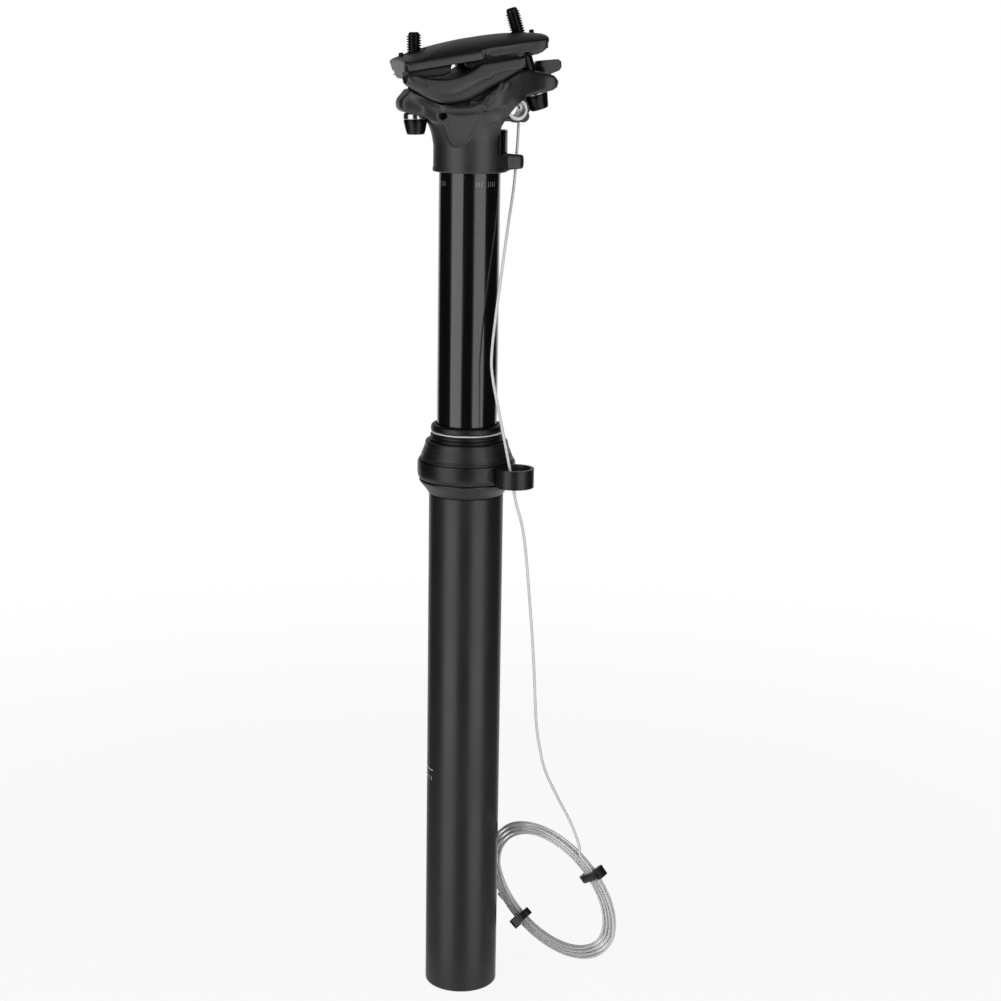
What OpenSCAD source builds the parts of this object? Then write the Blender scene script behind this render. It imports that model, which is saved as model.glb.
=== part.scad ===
// Dropper seatpost: a sliding upper post with a two-bolt saddle clamp, and its release cable.
// +Z runs up the post, +X points to the rear, and the origin is on the axis at the insertion line.

/* [Lower tube] */
// Outside diameter of the lower tube, which fits the bicycle's seat tube
post_od = 31.6; // [30.9:0.1:34.9]
// Bore of the lower tube
post_bore = 28; // [27.8:0.1:28.4]
// Length from the lower end up to the insertion line
insertion = 100; // [80:1:130]
// Length of the straight tube above the insertion line
reach = 124; // [115:1:160]
// Radius of the edge at the lower end
end_round = 1; // [0.5:0.1:1.2]
// Height of the bottom plug
plug_h = 8; // [6:0.5:12]

/* [Upper post] */
// Outside diameter of the sliding tube
stanchion_od = 25.4; // [25:0.1:25.6]
// Wall of the sliding tube
stanchion_wall = 2; // [1.8:0.1:2.1]
// Drop of the saddle
travel = 100; // [80:5:110]
// Height left between the head and the wiper at full drop
drop_gap = 5; // [4:0.5:10]
// Length of the bushing on the sliding tube's lower end
foot_bush_h = 24; // [18:1:26]
// Length of each anti-rotation key
key_len = 15; // [10:1:18]
// Radius of each anti-rotation key
key_r = 1.5; // [1.3:0.1:1.5]

/* [Collar] */
// Height of the collar nut
collar_h = 23; // [22:0.5:26]
// Height of the collar's lower flare
skirt_h = 6.3; // [5.5:0.1:7]
// Diameter of the cable clip's band
clip_od = 41.6; // [41:0.1:44]
// Height of the cable clip
clip_h = 8; // [6:0.5:9]
// Outside radius of the cable clip's loop
loop_r = 8; // [7.5:0.1:9]
// Wall of the cable clip
clip_wall = 1.5; // [1.2:0.1:1.6]
// Height of the wiper seal above the collar
wiper_h = 7; // [6:0.5:8]

/* [Cartridge] */
// Outside diameter of the cartridge tube
cartridge_od = 20; // [19:0.1:20.5]
// Wall of the cartridge tube
cartridge_wall = 1.5; // [1.2:0.1:1.8]
// Diameter of the piston rod
rod_d = 10; // [8:0.5:11]
// Diameter of the valve pin
pin_d = 4; // [3:0.2:5]

/* [Head] */
// Outside radius of the neck
neck_r = 15.1; // [14.8:0.1:15.6]
// Depth of the sliding tube's socket in the neck
socket_h = 15; // [12:0.5:15.5]
// Half width of the cradle seat
cup_half = 18.5; // [17:0.5:19]
// Half width of the two bolt ears
ear_half = 8.5; // [7.5:0.1:8.7]
// Radius of the cradle seat
seat_r = 32.6; // [32:0.1:33]
// Height of the tilt axis above the foot of the neck
seat_z = 58; // [57.5:0.1:58.5]
// Clear radius of the bolt holes in the ears
ear_hole_r = 4.1; // [3.8:0.1:4.3]

/* [Saddle clamp] */
// Upward slope of the saddle rails towards the rear, in degrees
rail_tilt = 9.8; // [8.5:0.1:11]
// Radius of a saddle rail
rail_r = 3.5; // [3.3:0.1:3.6]
// Distance between the two rails' centres
rail_gap = 44; // [42:0.5:45]
// Half width of the clamp plate
clamp_half = 26; // [25.5:0.1:28]
// Length of the clamp plate
clamp_len = 59; // [58.6:0.1:60]
// Thickness of the clamp plate at its middle
clamp_t = 7.5; // [7.2:0.1:9]
// Radius of the clamp plate's corners, seen from above
clamp_corner = 5; // [3:0.5:7]

/* [Bolts] */
// Outside diameter of the bolts
bolt_d = 5.8; // [5:0.1:6]
// Length of a bolt from its washer's centre of swing to its tip
bolt_reach = 39; // [38:0.5:42]
// Radius of a bolt's head at its top
bolt_head_r = 4.9; // [4.7:0.05:5.2]
// Radius of the washer's spherical face
washer_ball_r = 7.8; // [7.6:0.1:8]
// Forward lean of the front bolt, in degrees
front_lean = 1.4; // [0.5:0.1:2]
// Forward lean of the rear bolt, in degrees
rear_lean = 17.6; // [16.5:0.1:18]
// Radius of the barrel nuts
nut_r = 4; // [3.8:0.1:4.2]
// Half length of the barrel nuts
nut_half = 7.4; // [6:0.1:10]

/* [Release lever] */
// Half width of the lever's arm
lever_half = 2.9; // [2:0.1:3.1]
// Outside radius of the lever's eyelet boss
boss_r = 5.4; // [5.2:0.1:5.5]
// Outside radius of the cable anchor
anchor_r = 4.5; // [4.3:0.1:4.8]
// Radius of the hole through the cable anchor
anchor_hole_r = 2.8; // [2:0.1:3]
// Radius of the lever's pivot pin
pivot_r = 1.4; // [1.2:0.1:1.6]

/* [Cable] */
// Diameter of the inner wire
wire_d = 1.2; // [1:0.1:1.2]
// Number of loops in each of the coil's two layers
coil_loops = 4; // [3:1:4]
// Radius of the coil's largest loop
coil_r = 35.8; // [34:0.1:36]
// Distance from one loop to the next, and from layer to layer
coil_pitch = 1.7; // [1.7:0.05:1.8]

/* [Hidden] */
$fn = 64;

// Clearances: pieces that stay together, pieces that slide, and curved faces of moving pieces
fit = 0.05;
slide_fit = 0.04;
face_gap = 0.3;
eps = 0.01;

// Radii and heights of the lower post
post_r = post_od / 2;
bore_r = post_bore / 2;
stanchion_r = stanchion_od / 2;
stanchion_bore_r = stanchion_r - stanchion_wall;
thread_r = post_r - 0.7;
foot_z = -insertion;
collar_z = reach;
clip_z = collar_z + skirt_h;
cone_z = clip_z + clip_h + face_gap;
collar_top = collar_z + collar_h;
tube_top = collar_top - 7;
wiper_top = collar_top + wiper_h;
clip_r = clip_od / 2;
clip_seat_r = clip_r - clip_wall;
seal_r = post_r - 0.4;
upper_bush_h = 26;
white_ring_z = wiper_top - 3.6;
white_ring_h = 0.6;

// Heights of the upper post at full height
neck_z = wiper_top + travel + drop_gap;
plug_top = foot_z + plug_h;
stanchion_foot = plug_top + travel + 22;
socket_top = neck_z + socket_h;
ring_h = 1.5;
bush_groove = 0.5;
key_z = stanchion_foot + ring_h + foot_bush_h + 6;
key_ring_r = 13.3;
key_angles = [60, 180, 300];
gland_z = stanchion_foot + ring_h + 0.3;
gland_flange_h = 3;
gland_h = 13;
cartridge_r = cartridge_od / 2;
cartridge_bore_r = cartridge_r - cartridge_wall;
cartridge_z = gland_z + gland_flange_h + fit;
cartridge_top = neck_z - 8;
rod_r = rod_d / 2;
bumper_h = 3.6;
piston_z = gland_z + gland_h + bumper_h + 0.4;
piston_h = 8;
pin_r = pin_d / 2;
rod_screw_r = 3;

// Head, measured from the foot of the neck
flare_z = 14;
cover_z0 = 7.6;
cover_z1 = 17.1;
cover_span = 94;
cover_t = 1.5;
ear_z0 = 0.9;
ear_z1 = 7.4;
cable_ear_x = 19.2;
cable_ear_r = 3.5;
window_z = 17.2;
pivot_x = -14;
pivot_boss_r = 2.8;
pivot_z = 23;
eyelet_x = 18.4;
eyelet_z = 25.4;
eyelet_bay_half = 6;
lever_under = 20.5;
anchor_rim = 2.4;
wire_top_x = 20.2;
tilt_x = -4;
cradle_r = seat_r - face_gap;
front_x = -22.6;
front_swing_z = 17;
rear_swing_x = 28.3;
rear_swing_z = 27.4;
bolt_r = bolt_d / 2;
washer_seat = 3.9;
spot_r = 5.9;
head_side = [[-neck_r, 10], [-neck_r, 17.5], [-17.6, 21], [-23.5, 22.9], [-29.2, 24.2], [-30.4, 26],
    [-30.4, 28.2], [-28.6, 30.6], [-24.6, 32], [-20, 40.6], [27.6, 40.6], [33.4, 39.2], [35.4, 37],
    [35, 34.6], [33, 33.2], [24.9, 31.2], [19.8, 29.6], [16.8, 26.8], [15.4, 23.5],
    [neck_r, 19], [neck_r, 10]];
head_plan = [[-30.6, 5.5], [-28.8, ear_half], [-21, ear_half + 0.6], [-14.5, cup_half - 1.4],
    [-10, cup_half], [6, cup_half], [11, cup_half - 2], [19.5, ear_half + 1], [25, ear_half],
    [33.8, ear_half], [35.6, 6]];

// Saddle clamp, in a frame at the tilt axis that follows the rails' slope
rail_w = -14.2;
plate_bottom = -13.4;
plate_top = plate_bottom + clamp_t;
plate_crown_r = 300;
plate_side_r = 280;
plate_peak_u = 6;
plate_front = -clamp_len / 2 + 0.9;
nut_w = -9;
nut_boss_r = 7.5;
nut_boss_bottom = -15.6;
shank_gap = 1.9;
nut_lid = 1.2;
nut_play = 0.5;
cradle_front = -28.5;
cradle_rear = 19;
cradle_shelf = -15;
cradle_floor = -17;
wing_in = 17;
wing_foot = -20.8;
cradle_half = 20;
dip_u = -12;
dip_w = 8.1;
dip_r = 26.7;
notch_end = -16.5;
notch_half = bolt_r + 1.3;
rear_notch_u = 14.6;
stud_r = 1;
stud_rise = 2.2;

// Place of the barrel nuts: where each bolt's axis meets the nuts' height in the clamp
function nut_run(dx, dz, lean) =
    (nut_w + dx * sin(rail_tilt) - dz * cos(rail_tilt)) / cos(lean - rail_tilt);
function nut_u(dx, dz, lean) = (dx - nut_run(dx, dz, lean) * sin(lean)) * cos(rail_tilt)
    + (dz + nut_run(dx, dz, lean) * cos(lean)) * sin(rail_tilt);
front_nut_u = nut_u(front_x - tilt_x, front_swing_z - seat_z, front_lean);
rear_nut_u = nut_u(rear_swing_x - tilt_x, rear_swing_z - seat_z, rear_lean);

// Cable route, from the anchor on the lever down to the coil
loop_angle = -50;
clip_slit = 8;
loop_out = clip_r + loop_r - 2.4;
route_upper = [[20.2, 0, 279.8], [19.8, 0, 271], [19, 0, 258], [17.8, -2, 250], [15.2, -6.5, 238],
    [12, -11.5, 221], [8.5, -15.5, 198.5], [7, -17, 184.5], [7.5, -18.5, 175], [10.5, -21.5, 158],
    [13, -24, 144], [14, -24, 139], [15, -24, 134]];
route_lower = [[15, -24, 134], [16, -24, 129], [17, -24, 124], [21, -22.5, 108.5], [24.5, -21.5, 76],
    [26.5, -21, 52.5], [28, -21, 27], [30, -21, 14], [32.5, -21.5, 4], [38, -23.5, -8],
    [43, -26, -18], [46.2, -29, -27]];
ring_sides = 8;
coil_sides = 6;
loop_rings = 24;
coil_centre = [38.6, -7.5, -58];
coil_face_turn = 37.5;
coil_face_rise = 17;
coil_start = 42;
coil_end = -139;
tie_upper_at = 33;
tie_lower_at = -134;
tie_w = 3.5;
tie_t = 0.9;
tie_head = [2.6, 4.6];
tie_tail = [1.6, 3.4];
tip_r = 1;
tip_len = 11;

// Vectors of the coil: its axis, its rightward direction and its upward direction
coil_n = [cos(coil_face_rise) * cos(coil_face_turn), cos(coil_face_rise) * sin(coil_face_turn),
    sin(coil_face_rise)];
coil_x = [sin(coil_face_turn), -cos(coil_face_turn), 0];
coil_y = cross(coil_n, coil_x) * (cross(coil_n, coil_x)[2] > 0 ? 1 : -1);
coil_total = (2 * coil_loops - 1) + (coil_start - coil_end) / 360;
coil_flip = coil_loops - 0.25;

function unit(v) = v / norm(v);

// Distance from the coil's centre and height along its axis after a number of turns
function coil_out(s) = coil_r - coil_pitch * (s < coil_flip ? s : 2 * coil_flip - s);
function climb(t) = t <= 0 ? 0 : t >= 1 ? 1 : t * t * (3 - 2 * t);
function coil_up(s) = coil_pitch * climb((s - coil_flip + 0.25) / 0.5);
function coil_at(angle, out, up) =
    coil_centre + out * (cos(angle) * coil_x + sin(angle) * coil_y) + up * coil_n;
function coil_point(s) = coil_at(coil_start - 360 * s, coil_out(s), coil_up(s));
function coil_heading(s) = unit(coil_point(s + 0.002) - coil_point(s - 0.002));
coil_count = round(coil_total * loop_rings);
coil_loop_points = [for (i = [0:coil_count]) coil_point(i * coil_total / coil_count)];
coil_first = coil_loop_points[0] - coil_heading(0) * wire_d;
coil_last = coil_loop_points[coil_count] + coil_heading(coil_total) * wire_d;
coil_path = concat([coil_first], coil_loop_points, [coil_last]);

// Smooth path through chosen points, with straight ends
function spline(a, b, c, d, t) = 0.5 * (2 * b + (c - a) * t + (2 * a - 5 * b + 4 * c - d) * t * t
    + (3 * b - a - 3 * c + d) * t * t * t);
function smooth(p, steps) = concat([for (i = [0:len(p) - 2], k = [0:steps - 1])
    spline(p[max(i - 1, 0)], p[i], p[i + 1], p[min(i + 2, len(p) - 1)], k / steps)], [p[len(p) - 1]]);
lower_knots = concat(route_lower, [coil_first - coil_heading(0) * wire_d * 3, coil_first]);
route_steps = 3;
upper_path = smooth(route_upper, route_steps);
lower_path = smooth(lower_knots, route_steps);

function way(p, i) = unit(p[min(i + 1, len(p) - 1)] - p[max(i - 1, 0)]);
function side_of(t, ref) = unit(cross(t, ref));
function path_length(p) = [for (i = 0, s = 0; i < len(p);
    s = s + (i < len(p) - 1 ? norm(p[i + 1] - p[i]) : 0),
    i = i + 1) s][len(p) - 1];

// Least distance between the surfaces of turns that lie beside each other
function least_gap(p, skip) = min([for (i = [0:len(p) - 1 - skip]) min([for (j = [i + skip:len(p) - 1])
    norm(p[i] - p[j])])]) - wire_d;
echo(coil_gap = least_gap(coil_path, loop_rings / 2));
echo(cable_length = path_length(upper_path) + path_length(lower_path) + path_length(coil_path));
echo(nut_places = [front_nut_u, rear_nut_u, nut_w]);

// A round wire swept along a path, closed by flat ends
module wire(path, r, sides, ref) {
    count = len(path);
    points = [for (i = [0:count - 1]) let (t = way(path, i), a = side_of(t, ref), b = cross(t, a))
        for (k = [0:sides - 1]) path[i] + r * (cos(360 * k / sides) * a + sin(360 * k / sides) * b)];
    skin = [for (i = [0:count - 2], k = [0:sides - 1]) let (p = i * sides + k,
        q = i * sides + (k + 1) % sides) each [[p, p + sides, q], [q, p + sides, q + sides]]];
    near_end = [for (k = [1:sides - 2]) [0, k, k + 1]];
    far_end = [for (k = [1:sides - 2]) let (o = (count - 1) * sides) [o, o + k + 1, o + k]];
    polyhedron(points, concat(skin, near_end, far_end));
}

module ring(outer, inner, h) {
    difference() {
        cylinder(h = h, r = outer);
        translate([0, 0, -1]) cylinder(h = h + 2, r = inner);
    }
}

module at_neck() {
    translate([0, 0, neck_z]) children();
}

// The clamp's frame: its first axis follows the rails, its third points away from the post
module at_clamp() {
    translate([tilt_x, 0, neck_z + seat_z]) rotate([0, -rail_tilt, 0]) children();
}

module at_front_bolt() {
    translate([front_x, 0, neck_z + front_swing_z]) rotate([0, -front_lean, 0]) children();
}

module at_rear_bolt() {
    translate([rear_swing_x, 0, neck_z + rear_swing_z]) rotate([0, -rear_lean, 0]) children();
}

// Extrudes a side view, drawn with X to the rear and Y up, to a half width on both sides
module side_slab(half) {
    rotate([90, 0, 0]) linear_extrude(height = 2 * half, center = true) children();
}

module key_bars(r, z, h) {
    for (a = key_angles) rotate([0, 0, a]) translate([key_ring_r, 0, z]) cylinder(h = h, r = r);
}

module outer_tube() {
    color([0.16, 0.16, 0.17]) difference() {
        union() {
            rotate_extrude() polygon([[0, foot_z], [post_r - end_round, foot_z],
                [post_r, foot_z + end_round], [post_r, collar_z], [0, collar_z]]);
            translate([0, 0, collar_z - eps]) cylinder(h = tube_top - collar_z + eps, r = thread_r);
        }
        translate([0, 0, foot_z - 1]) cylinder(h = tube_top - foot_z + 2, r = bore_r);
        key_bars(key_r + 0.1, foot_z + plug_h + 4, tube_top - upper_bush_h - foot_z - plug_h);
    }
}

module bottom_plug() {
    color([0.12, 0.12, 0.12]) translate([0, 0, foot_z]) difference() {
        cylinder(h = plug_h, r = bore_r - fit);
        translate([0, 0, -1]) cylinder(h = plug_h + 2, r = rod_screw_r + fit);
        translate([0, 0, -1]) cylinder(h = 5, r = rod_screw_r + 2.4);
    }
}

module rod_bolt() {
    color("silver") translate([0, 0, foot_z + 0.6]) difference() {
        union() {
            cylinder(h = 3.4, r = rod_screw_r + 2.2);
            cylinder(h = plug_h + 8, r = rod_screw_r);
        }
        translate([0, 0, -1]) cylinder(h = 3.4, r = 2.3, $fn = 6);
    }
}

module piston_rod() {
    color("silver") translate([0, 0, plug_top]) difference() {
        cylinder(h = piston_z + piston_h - plug_top - 2, r = rod_r);
        translate([0, 0, -1]) cylinder(h = 11, r = rod_screw_r + fit);
    }
}

module piston_head() {
    color("goldenrod") translate([0, 0, piston_z]) difference() {
        cylinder(h = piston_h, r = cartridge_bore_r - 0.1);
        translate([0, 0, -1]) cylinder(h = piston_h - 2 + 1 + fit, r = rod_r + fit);
        translate([0, 0, piston_h / 2 - 1]) ring(cartridge_bore_r + 1, cartridge_bore_r - 1.6, 2);
    }
}

module piston_seal() {
    color([0.1, 0.1, 0.1]) translate([0, 0, piston_z + piston_h / 2 - 0.95])
        ring(cartridge_bore_r - slide_fit, cartridge_bore_r - 1.55, 1.9);
}

module upper_bushing() {
    color("ivory") translate([0, 0, tube_top - upper_bush_h])
        ring(bore_r - fit, stanchion_r + slide_fit, upper_bush_h);
}

module collar_nut() {
    color([0.2, 0.2, 0.21]) difference() {
        rotate_extrude() polygon([[0, collar_z + 0.3], [post_r + 0.2, collar_z + 0.3],
            [clip_r - 1, clip_z - 1.2], [clip_r - 0.8, clip_z - 0.6], [clip_r - 0.8, clip_z],
            [clip_seat_r - fit, clip_z], [clip_seat_r - fit, cone_z], [clip_r - 1, cone_z],
            [clip_r - 1, cone_z + 0.6], [clip_r - 3.1, collar_top - 1], [clip_r - 3.7, collar_top],
            [0, collar_top]]);
        translate([0, 0, collar_z]) cylinder(h = tube_top + 0.2 - collar_z, r = thread_r + fit);
        cylinder(h = collar_top + 1, r = bore_r - 0.6);
        translate([0, 0, collar_top - 5]) cylinder(h = 6, r = seal_r);
    }
}

module wiper_seal() {
    color([0.08, 0.08, 0.08]) difference() {
        rotate_extrude() polygon([[stanchion_r + slide_fit, collar_top - 4.9],
            [seal_r - fit, collar_top - 4.9], [seal_r - fit, collar_top + 0.3],
            [seal_r + 0.3, collar_top + 0.6], [seal_r + 0.2, collar_top + 1.2],
            [seal_r - 0.3, collar_top + 1.5], [seal_r, collar_top + 2], [seal_r - 0.2, collar_top + 2.5],
            [seal_r - 0.7, white_ring_z - 0.2], [seal_r - 0.7, white_ring_z + white_ring_h + 0.2],
            [seal_r - 0.3, white_ring_z + white_ring_h + 0.6], [seal_r - 0.5, wiper_top - 0.6],
            [seal_r - 0.9, wiper_top - 0.2], [stanchion_r + 0.6, wiper_top],
            [stanchion_r + slide_fit, wiper_top - 1]]);
        translate([0, 0, white_ring_z]) ring(seal_r + 2, seal_r - 1.2, white_ring_h);
    }
}

module wiper_ring() {
    color("white") translate([0, 0, white_ring_z + fit])
        ring(seal_r - 0.55, seal_r - 1.15, white_ring_h - 2 * fit);
}

// Split band round the collar with a round loop for the cable
module guide_clip() {
    color([0.1, 0.1, 0.1]) translate([0, 0, clip_z + 0.1]) difference() {
        union() {
            cylinder(h = clip_h, r = clip_r);
            rotate([0, 0, loop_angle]) translate([loop_out, 0, 0]) cylinder(h = clip_h, r = loop_r);
        }
        translate([0, 0, -1]) cylinder(h = clip_h + 2, r = clip_seat_r);
        rotate([0, 0, loop_angle]) difference() {
            translate([loop_out, 0, -1]) cylinder(h = clip_h + 2, r = loop_r - clip_wall);
            translate([0, 0, -2]) cylinder(h = clip_h + 4, r = clip_r - 0.2);
        }
        rotate([0, 0, loop_angle + 180]) translate([clip_seat_r - 2, -clip_slit / 2, -1])
            cube([6, clip_slit, clip_h + 2]);
    }
}

module stanchion() {
    color([0.05, 0.05, 0.06]) difference() {
        translate([0, 0, stanchion_foot]) cylinder(h = socket_top - 0.2 - stanchion_foot, r = stanchion_r);
        translate([0, 0, stanchion_foot - 1])
            cylinder(h = socket_top - stanchion_foot + 2, r = stanchion_bore_r);
        translate([0, 0, stanchion_foot - 1])
            ring(stanchion_r + 1, stanchion_r - bush_groove, ring_h + foot_bush_h + 1.2);
        key_bars(key_r + fit, key_z - fit, key_len + 2 * fit);
    }
}

module lower_bushing() {
    color("ivory") translate([0, 0, stanchion_foot + ring_h + 0.1])
        ring(bore_r - slide_fit, stanchion_r - bush_groove + fit, foot_bush_h);
}

module retaining_ring() {
    color("dimgray") translate([0, 0, stanchion_foot]) difference() {
        ring(bore_r - 0.3, stanchion_r - bush_groove + fit, ring_h);
        translate([0, -1.5, -1]) cube([bore_r + 2, 3, ring_h + 2]);
    }
}

module key_pins() {
    color("goldenrod") key_bars(key_r, key_z, key_len);
}

module cartridge_tube() {
    color([0.55, 0.56, 0.58]) translate([0, 0, cartridge_z])
        ring(cartridge_r, cartridge_bore_r, cartridge_top - cartridge_z - fit);
}

module cartridge_gland() {
    color([0.35, 0.36, 0.38]) translate([0, 0, gland_z]) difference() {
        union() {
            cylinder(h = gland_flange_h, r = stanchion_bore_r - fit);
            cylinder(h = gland_h, r = cartridge_bore_r - fit);
        }
        translate([0, 0, -1]) cylinder(h = gland_h + 2, r = rod_r + slide_fit);
    }
}

module top_out_bumper() {
    color([0.15, 0.15, 0.15]) translate([0, 0, gland_z + gland_h + fit])
        ring(cartridge_bore_r - 0.6, rod_r + 0.1, bumper_h);
}

module valve_body() {
    color([0.45, 0.45, 0.47]) difference() {
        union() {
            translate([0, 0, cartridge_top]) cylinder(h = 20, r = stanchion_bore_r - fit);
            translate([0, 0, cartridge_top - 10]) cylinder(h = 12, r = cartridge_bore_r - fit);
            translate([0, 0, cartridge_top]) cylinder(h = 24, r = pin_r + 2);
        }
        translate([0, 0, cartridge_top - 8]) cylinder(h = 40, r = pin_r + slide_fit);
    }
}

module valve_pin() {
    dome = pin_r;
    color("silver") translate([0, 0, neck_z + lever_under - 0.1]) intersection() {
        union() {
            translate([0, 0, -34.4 + dome]) cylinder(h = 34.4 - 2 * dome, r = pin_r);
            translate([0, 0, -dome]) sphere(r = dome);
            translate([0, 0, -34.4 + dome / 2]) cylinder(h = dome, r = pin_r);
        }
        translate([0, 0, -34]) cylinder(h = 34, r = pin_r + 1);
    }
}

// Side view of the head above the neck, with the cradle's seat cut out
module head_shape() {
    difference() {
        polygon(head_side);
        translate([tilt_x, seat_z]) circle(r = seat_r, $fn = 128);
    }
}

module head_outline() {
    polygon(concat(head_plan, [for (i = [len(head_plan) - 1:-1:0]) [head_plan[i][0], -head_plan[i][1]]]));
}

// Window in the head for the lever's arm, and a wider bay round its eyelet
module lever_window() {
    side_slab(lever_half + 0.4) polygon([[pivot_x - 3.6, window_z + 1.5],
        [pivot_x - 2.5, window_z], [14, window_z], [14, 29], [pivot_x - 3.6, 29]]);
    side_slab(eyelet_bay_half) polygon([[12.4, window_z], [23.4, window_z], [23.4, 30], [22, 31.3],
        [15.4, 31.3], [12.4, 28.4]]);
}

module head() {
    color([0.22, 0.22, 0.23]) at_neck() difference() {
        union() {
            cylinder(h = 24, r = neck_r);
            cylinder(h = 1.5, r = neck_r + 0.3);
            intersection() {
                translate([0, 0, flare_z]) cylinder(h = 10, r1 = neck_r, r2 = cup_half + 0.2);
                translate([-16, -30, 0]) cube([32.6, 60, 40]);
            }
            intersection() {
                side_slab(cup_half) head_shape();
                translate([0, 0, 20]) linear_extrude(height = 30) head_outline();
            }
            translate([cable_ear_x, 0, ear_z0]) cylinder(h = ear_z1 - ear_z0, r = cable_ear_r);
            translate([neck_r - 2, -cable_ear_r, ear_z0])
                cube([cable_ear_x - neck_r + 2, 2 * cable_ear_r, ear_z1 - ear_z0]);
        }
        translate([tilt_x, 0, seat_z]) side_slab(40) circle(r = seat_r, $fn = 128);
        translate([0, 0, -1]) cylinder(h = socket_h + 1, r = stanchion_r + fit);
        cylinder(h = 30, r = pin_r + 3.2);
        lever_window();
        translate([pivot_x, 0, pivot_z]) side_slab(30) circle(r = pivot_r + slide_fit);
        translate([cable_ear_x, 0, -1]) cylinder(h = 10, r = wire_d / 2 + 0.5);
        rotate([0, 0, -cover_span / 2 - 0.5]) translate([0, 0, cover_z0])
            rotate_extrude(angle = cover_span + 1)
            translate([neck_r + 0.3 - cover_t, 0]) square([4, window_z - cover_z0 + eps]);
        translate([0, 0, -neck_z]) at_front_bolt() bolt_cut();
        translate([0, 0, -neck_z]) at_rear_bolt() bolt_cut();
    }
}

// Hole, ball seat and spot face that a clamp bolt needs in its ear
module bolt_cut() {
    cylinder(h = 24, r = ear_hole_r);
    intersection() {
        sphere(r = washer_ball_r + 0.2);
        translate([0, 0, washer_seat]) cylinder(h = 8, r = spot_r);
    }
    translate([0, 0, -9]) cylinder(h = 9 + washer_seat + 1.2, r = spot_r);
}

module lever_pin() {
    color("dimgray") translate([pivot_x, 0, neck_z + pivot_z]) side_slab(cup_half - 3.5) circle(r = pivot_r);
}

module rear_cover() {
    color([0.03, 0.03, 0.03]) at_neck() rotate([0, 0, -cover_span / 2]) translate([0, 0, cover_z0 + fit])
        rotate_extrude(angle = cover_span) translate([neck_r + 0.3 - cover_t + fit, 0])
            square([cover_t - fit, cover_z1 - cover_z0 - fit]);
}

module lower_cradle() {
    color([0.24, 0.24, 0.25]) at_clamp() difference() {
        union() {
            intersection() {
                side_slab(cradle_half) circle(r = cradle_r, $fn = 128);
                translate([cradle_front + 2, -30, -60])
                    cube([cradle_rear - cradle_front - 1, 60, 60 + cradle_floor]);
            }
            intersection() {
                side_slab(clamp_half) circle(r = cradle_r, $fn = 128);
                side_slab(clamp_half) polygon([[cradle_front, cradle_shelf], [cradle_front, -17.2],
                    [-26.5, -19.4], [-22, wing_foot], [8, wing_foot], [15.5, -19.6],
                    [cradle_rear, -17.6], [cradle_rear, cradle_shelf]]);
                translate([cradle_front - 1, -30, -40]) cube([60, 60, 40]);
            }
        }
        translate([cradle_front - 1, -wing_in, cradle_floor]) cube([60, 2 * wing_in, 20]);
        translate([dip_u, 0, dip_w]) side_slab(40) circle(r = dip_r, $fn = 128);
        rail_cut();
        translate([cradle_front - 1, -notch_half, -40])
            cube([notch_end - cradle_front + 1, 2 * notch_half, 40]);
        translate([rear_notch_u, -notch_half, -40]) cube([20, 2 * notch_half, 40]);
    }
}

module rail_cut() {
    for (s = [-1, 1]) translate([-60, s * rail_gap / 2, rail_w]) rotate([0, 90, 0])
        cylinder(h = 120, r = rail_r);
}

module clamp_outline() {
    x0 = plate_front;
    x1 = plate_front + clamp_len;
    c = clamp_corner;
    translate([x0 + c, -clamp_half]) square([clamp_len - 2 * c, 2 * clamp_half]);
    translate([x0, -clamp_half + c]) square([clamp_len, 2 * clamp_half - 2 * c]);
    for (x = [x0 + c, x1 - c], s = [-1, 1]) translate([x, s * (clamp_half - c)]) circle(r = c);
}

// Room in the plate for a barrel nut and its bolt
module nut_cut(u) {
    translate([u, 0, nut_w]) {
        side_slab(nut_half + 0.2) circle(r = nut_r + 0.1);
        translate([-nut_r - 0.1, -nut_half - 0.2, 0]) cube([2 * nut_r + 0.2, 2 * nut_half + 0.4, 20]);
    }
}

// Body of the plate, crowned along the rails and across them
module plate_body() {
    intersection() {
        side_slab(clamp_half + 1) intersection() {
            translate([plate_peak_u, plate_top - plate_crown_r]) circle(r = plate_crown_r, $fn = 400);
            translate([-40, plate_bottom]) square([80, 20]);
        }
        translate([0, 0, -30]) linear_extrude(height = 40) clamp_outline();
        translate([-40, 0, plate_top - plate_side_r]) rotate([0, 90, 0])
            cylinder(h = 80, r = plate_side_r, $fn = 400);
    }
}

module upper_clamp() {
    color([0.25, 0.25, 0.26]) difference() {
        at_clamp() difference() {
            union() {
                plate_body();
                for (u = [front_nut_u, rear_nut_u]) translate([u, 0, nut_boss_bottom])
                    cylinder(h = 6, r = nut_boss_r);
            }
            rail_cut();
            nut_cut(front_nut_u);
            nut_cut(rear_nut_u);
            at_studs(nut_w - 2) cylinder(h = 20, r = stud_r + fit);
        }
        at_front_bolt() translate([0, 0, 20]) cylinder(h = 30, r = bolt_r + shank_gap);
        at_rear_bolt() translate([0, 0, 18]) cylinder(h = 30, r = bolt_r + shank_gap);
    }
}

module at_studs(w) {
    reach_u = nut_r + stud_r + 0.4;
    for (u = [front_nut_u - reach_u, rear_nut_u + reach_u]) translate([u, 0, w]) children();
}

// Small dowels that stand outboard of the barrel nuts
module nut_pins() {
    color([0.1, 0.1, 0.1]) at_clamp() at_studs(nut_w - 2 + fit)
        cylinder(h = 2 + nut_lid + stud_rise - fit, r = stud_r);
}

module washer() {
    difference() {
        intersection() {
            sphere(r = washer_ball_r);
            translate([0, 0, washer_seat + 0.1]) cylinder(h = 8, r = bolt_head_r);
        }
        cylinder(h = 12, r = bolt_r + slide_fit);
    }
}

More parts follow.
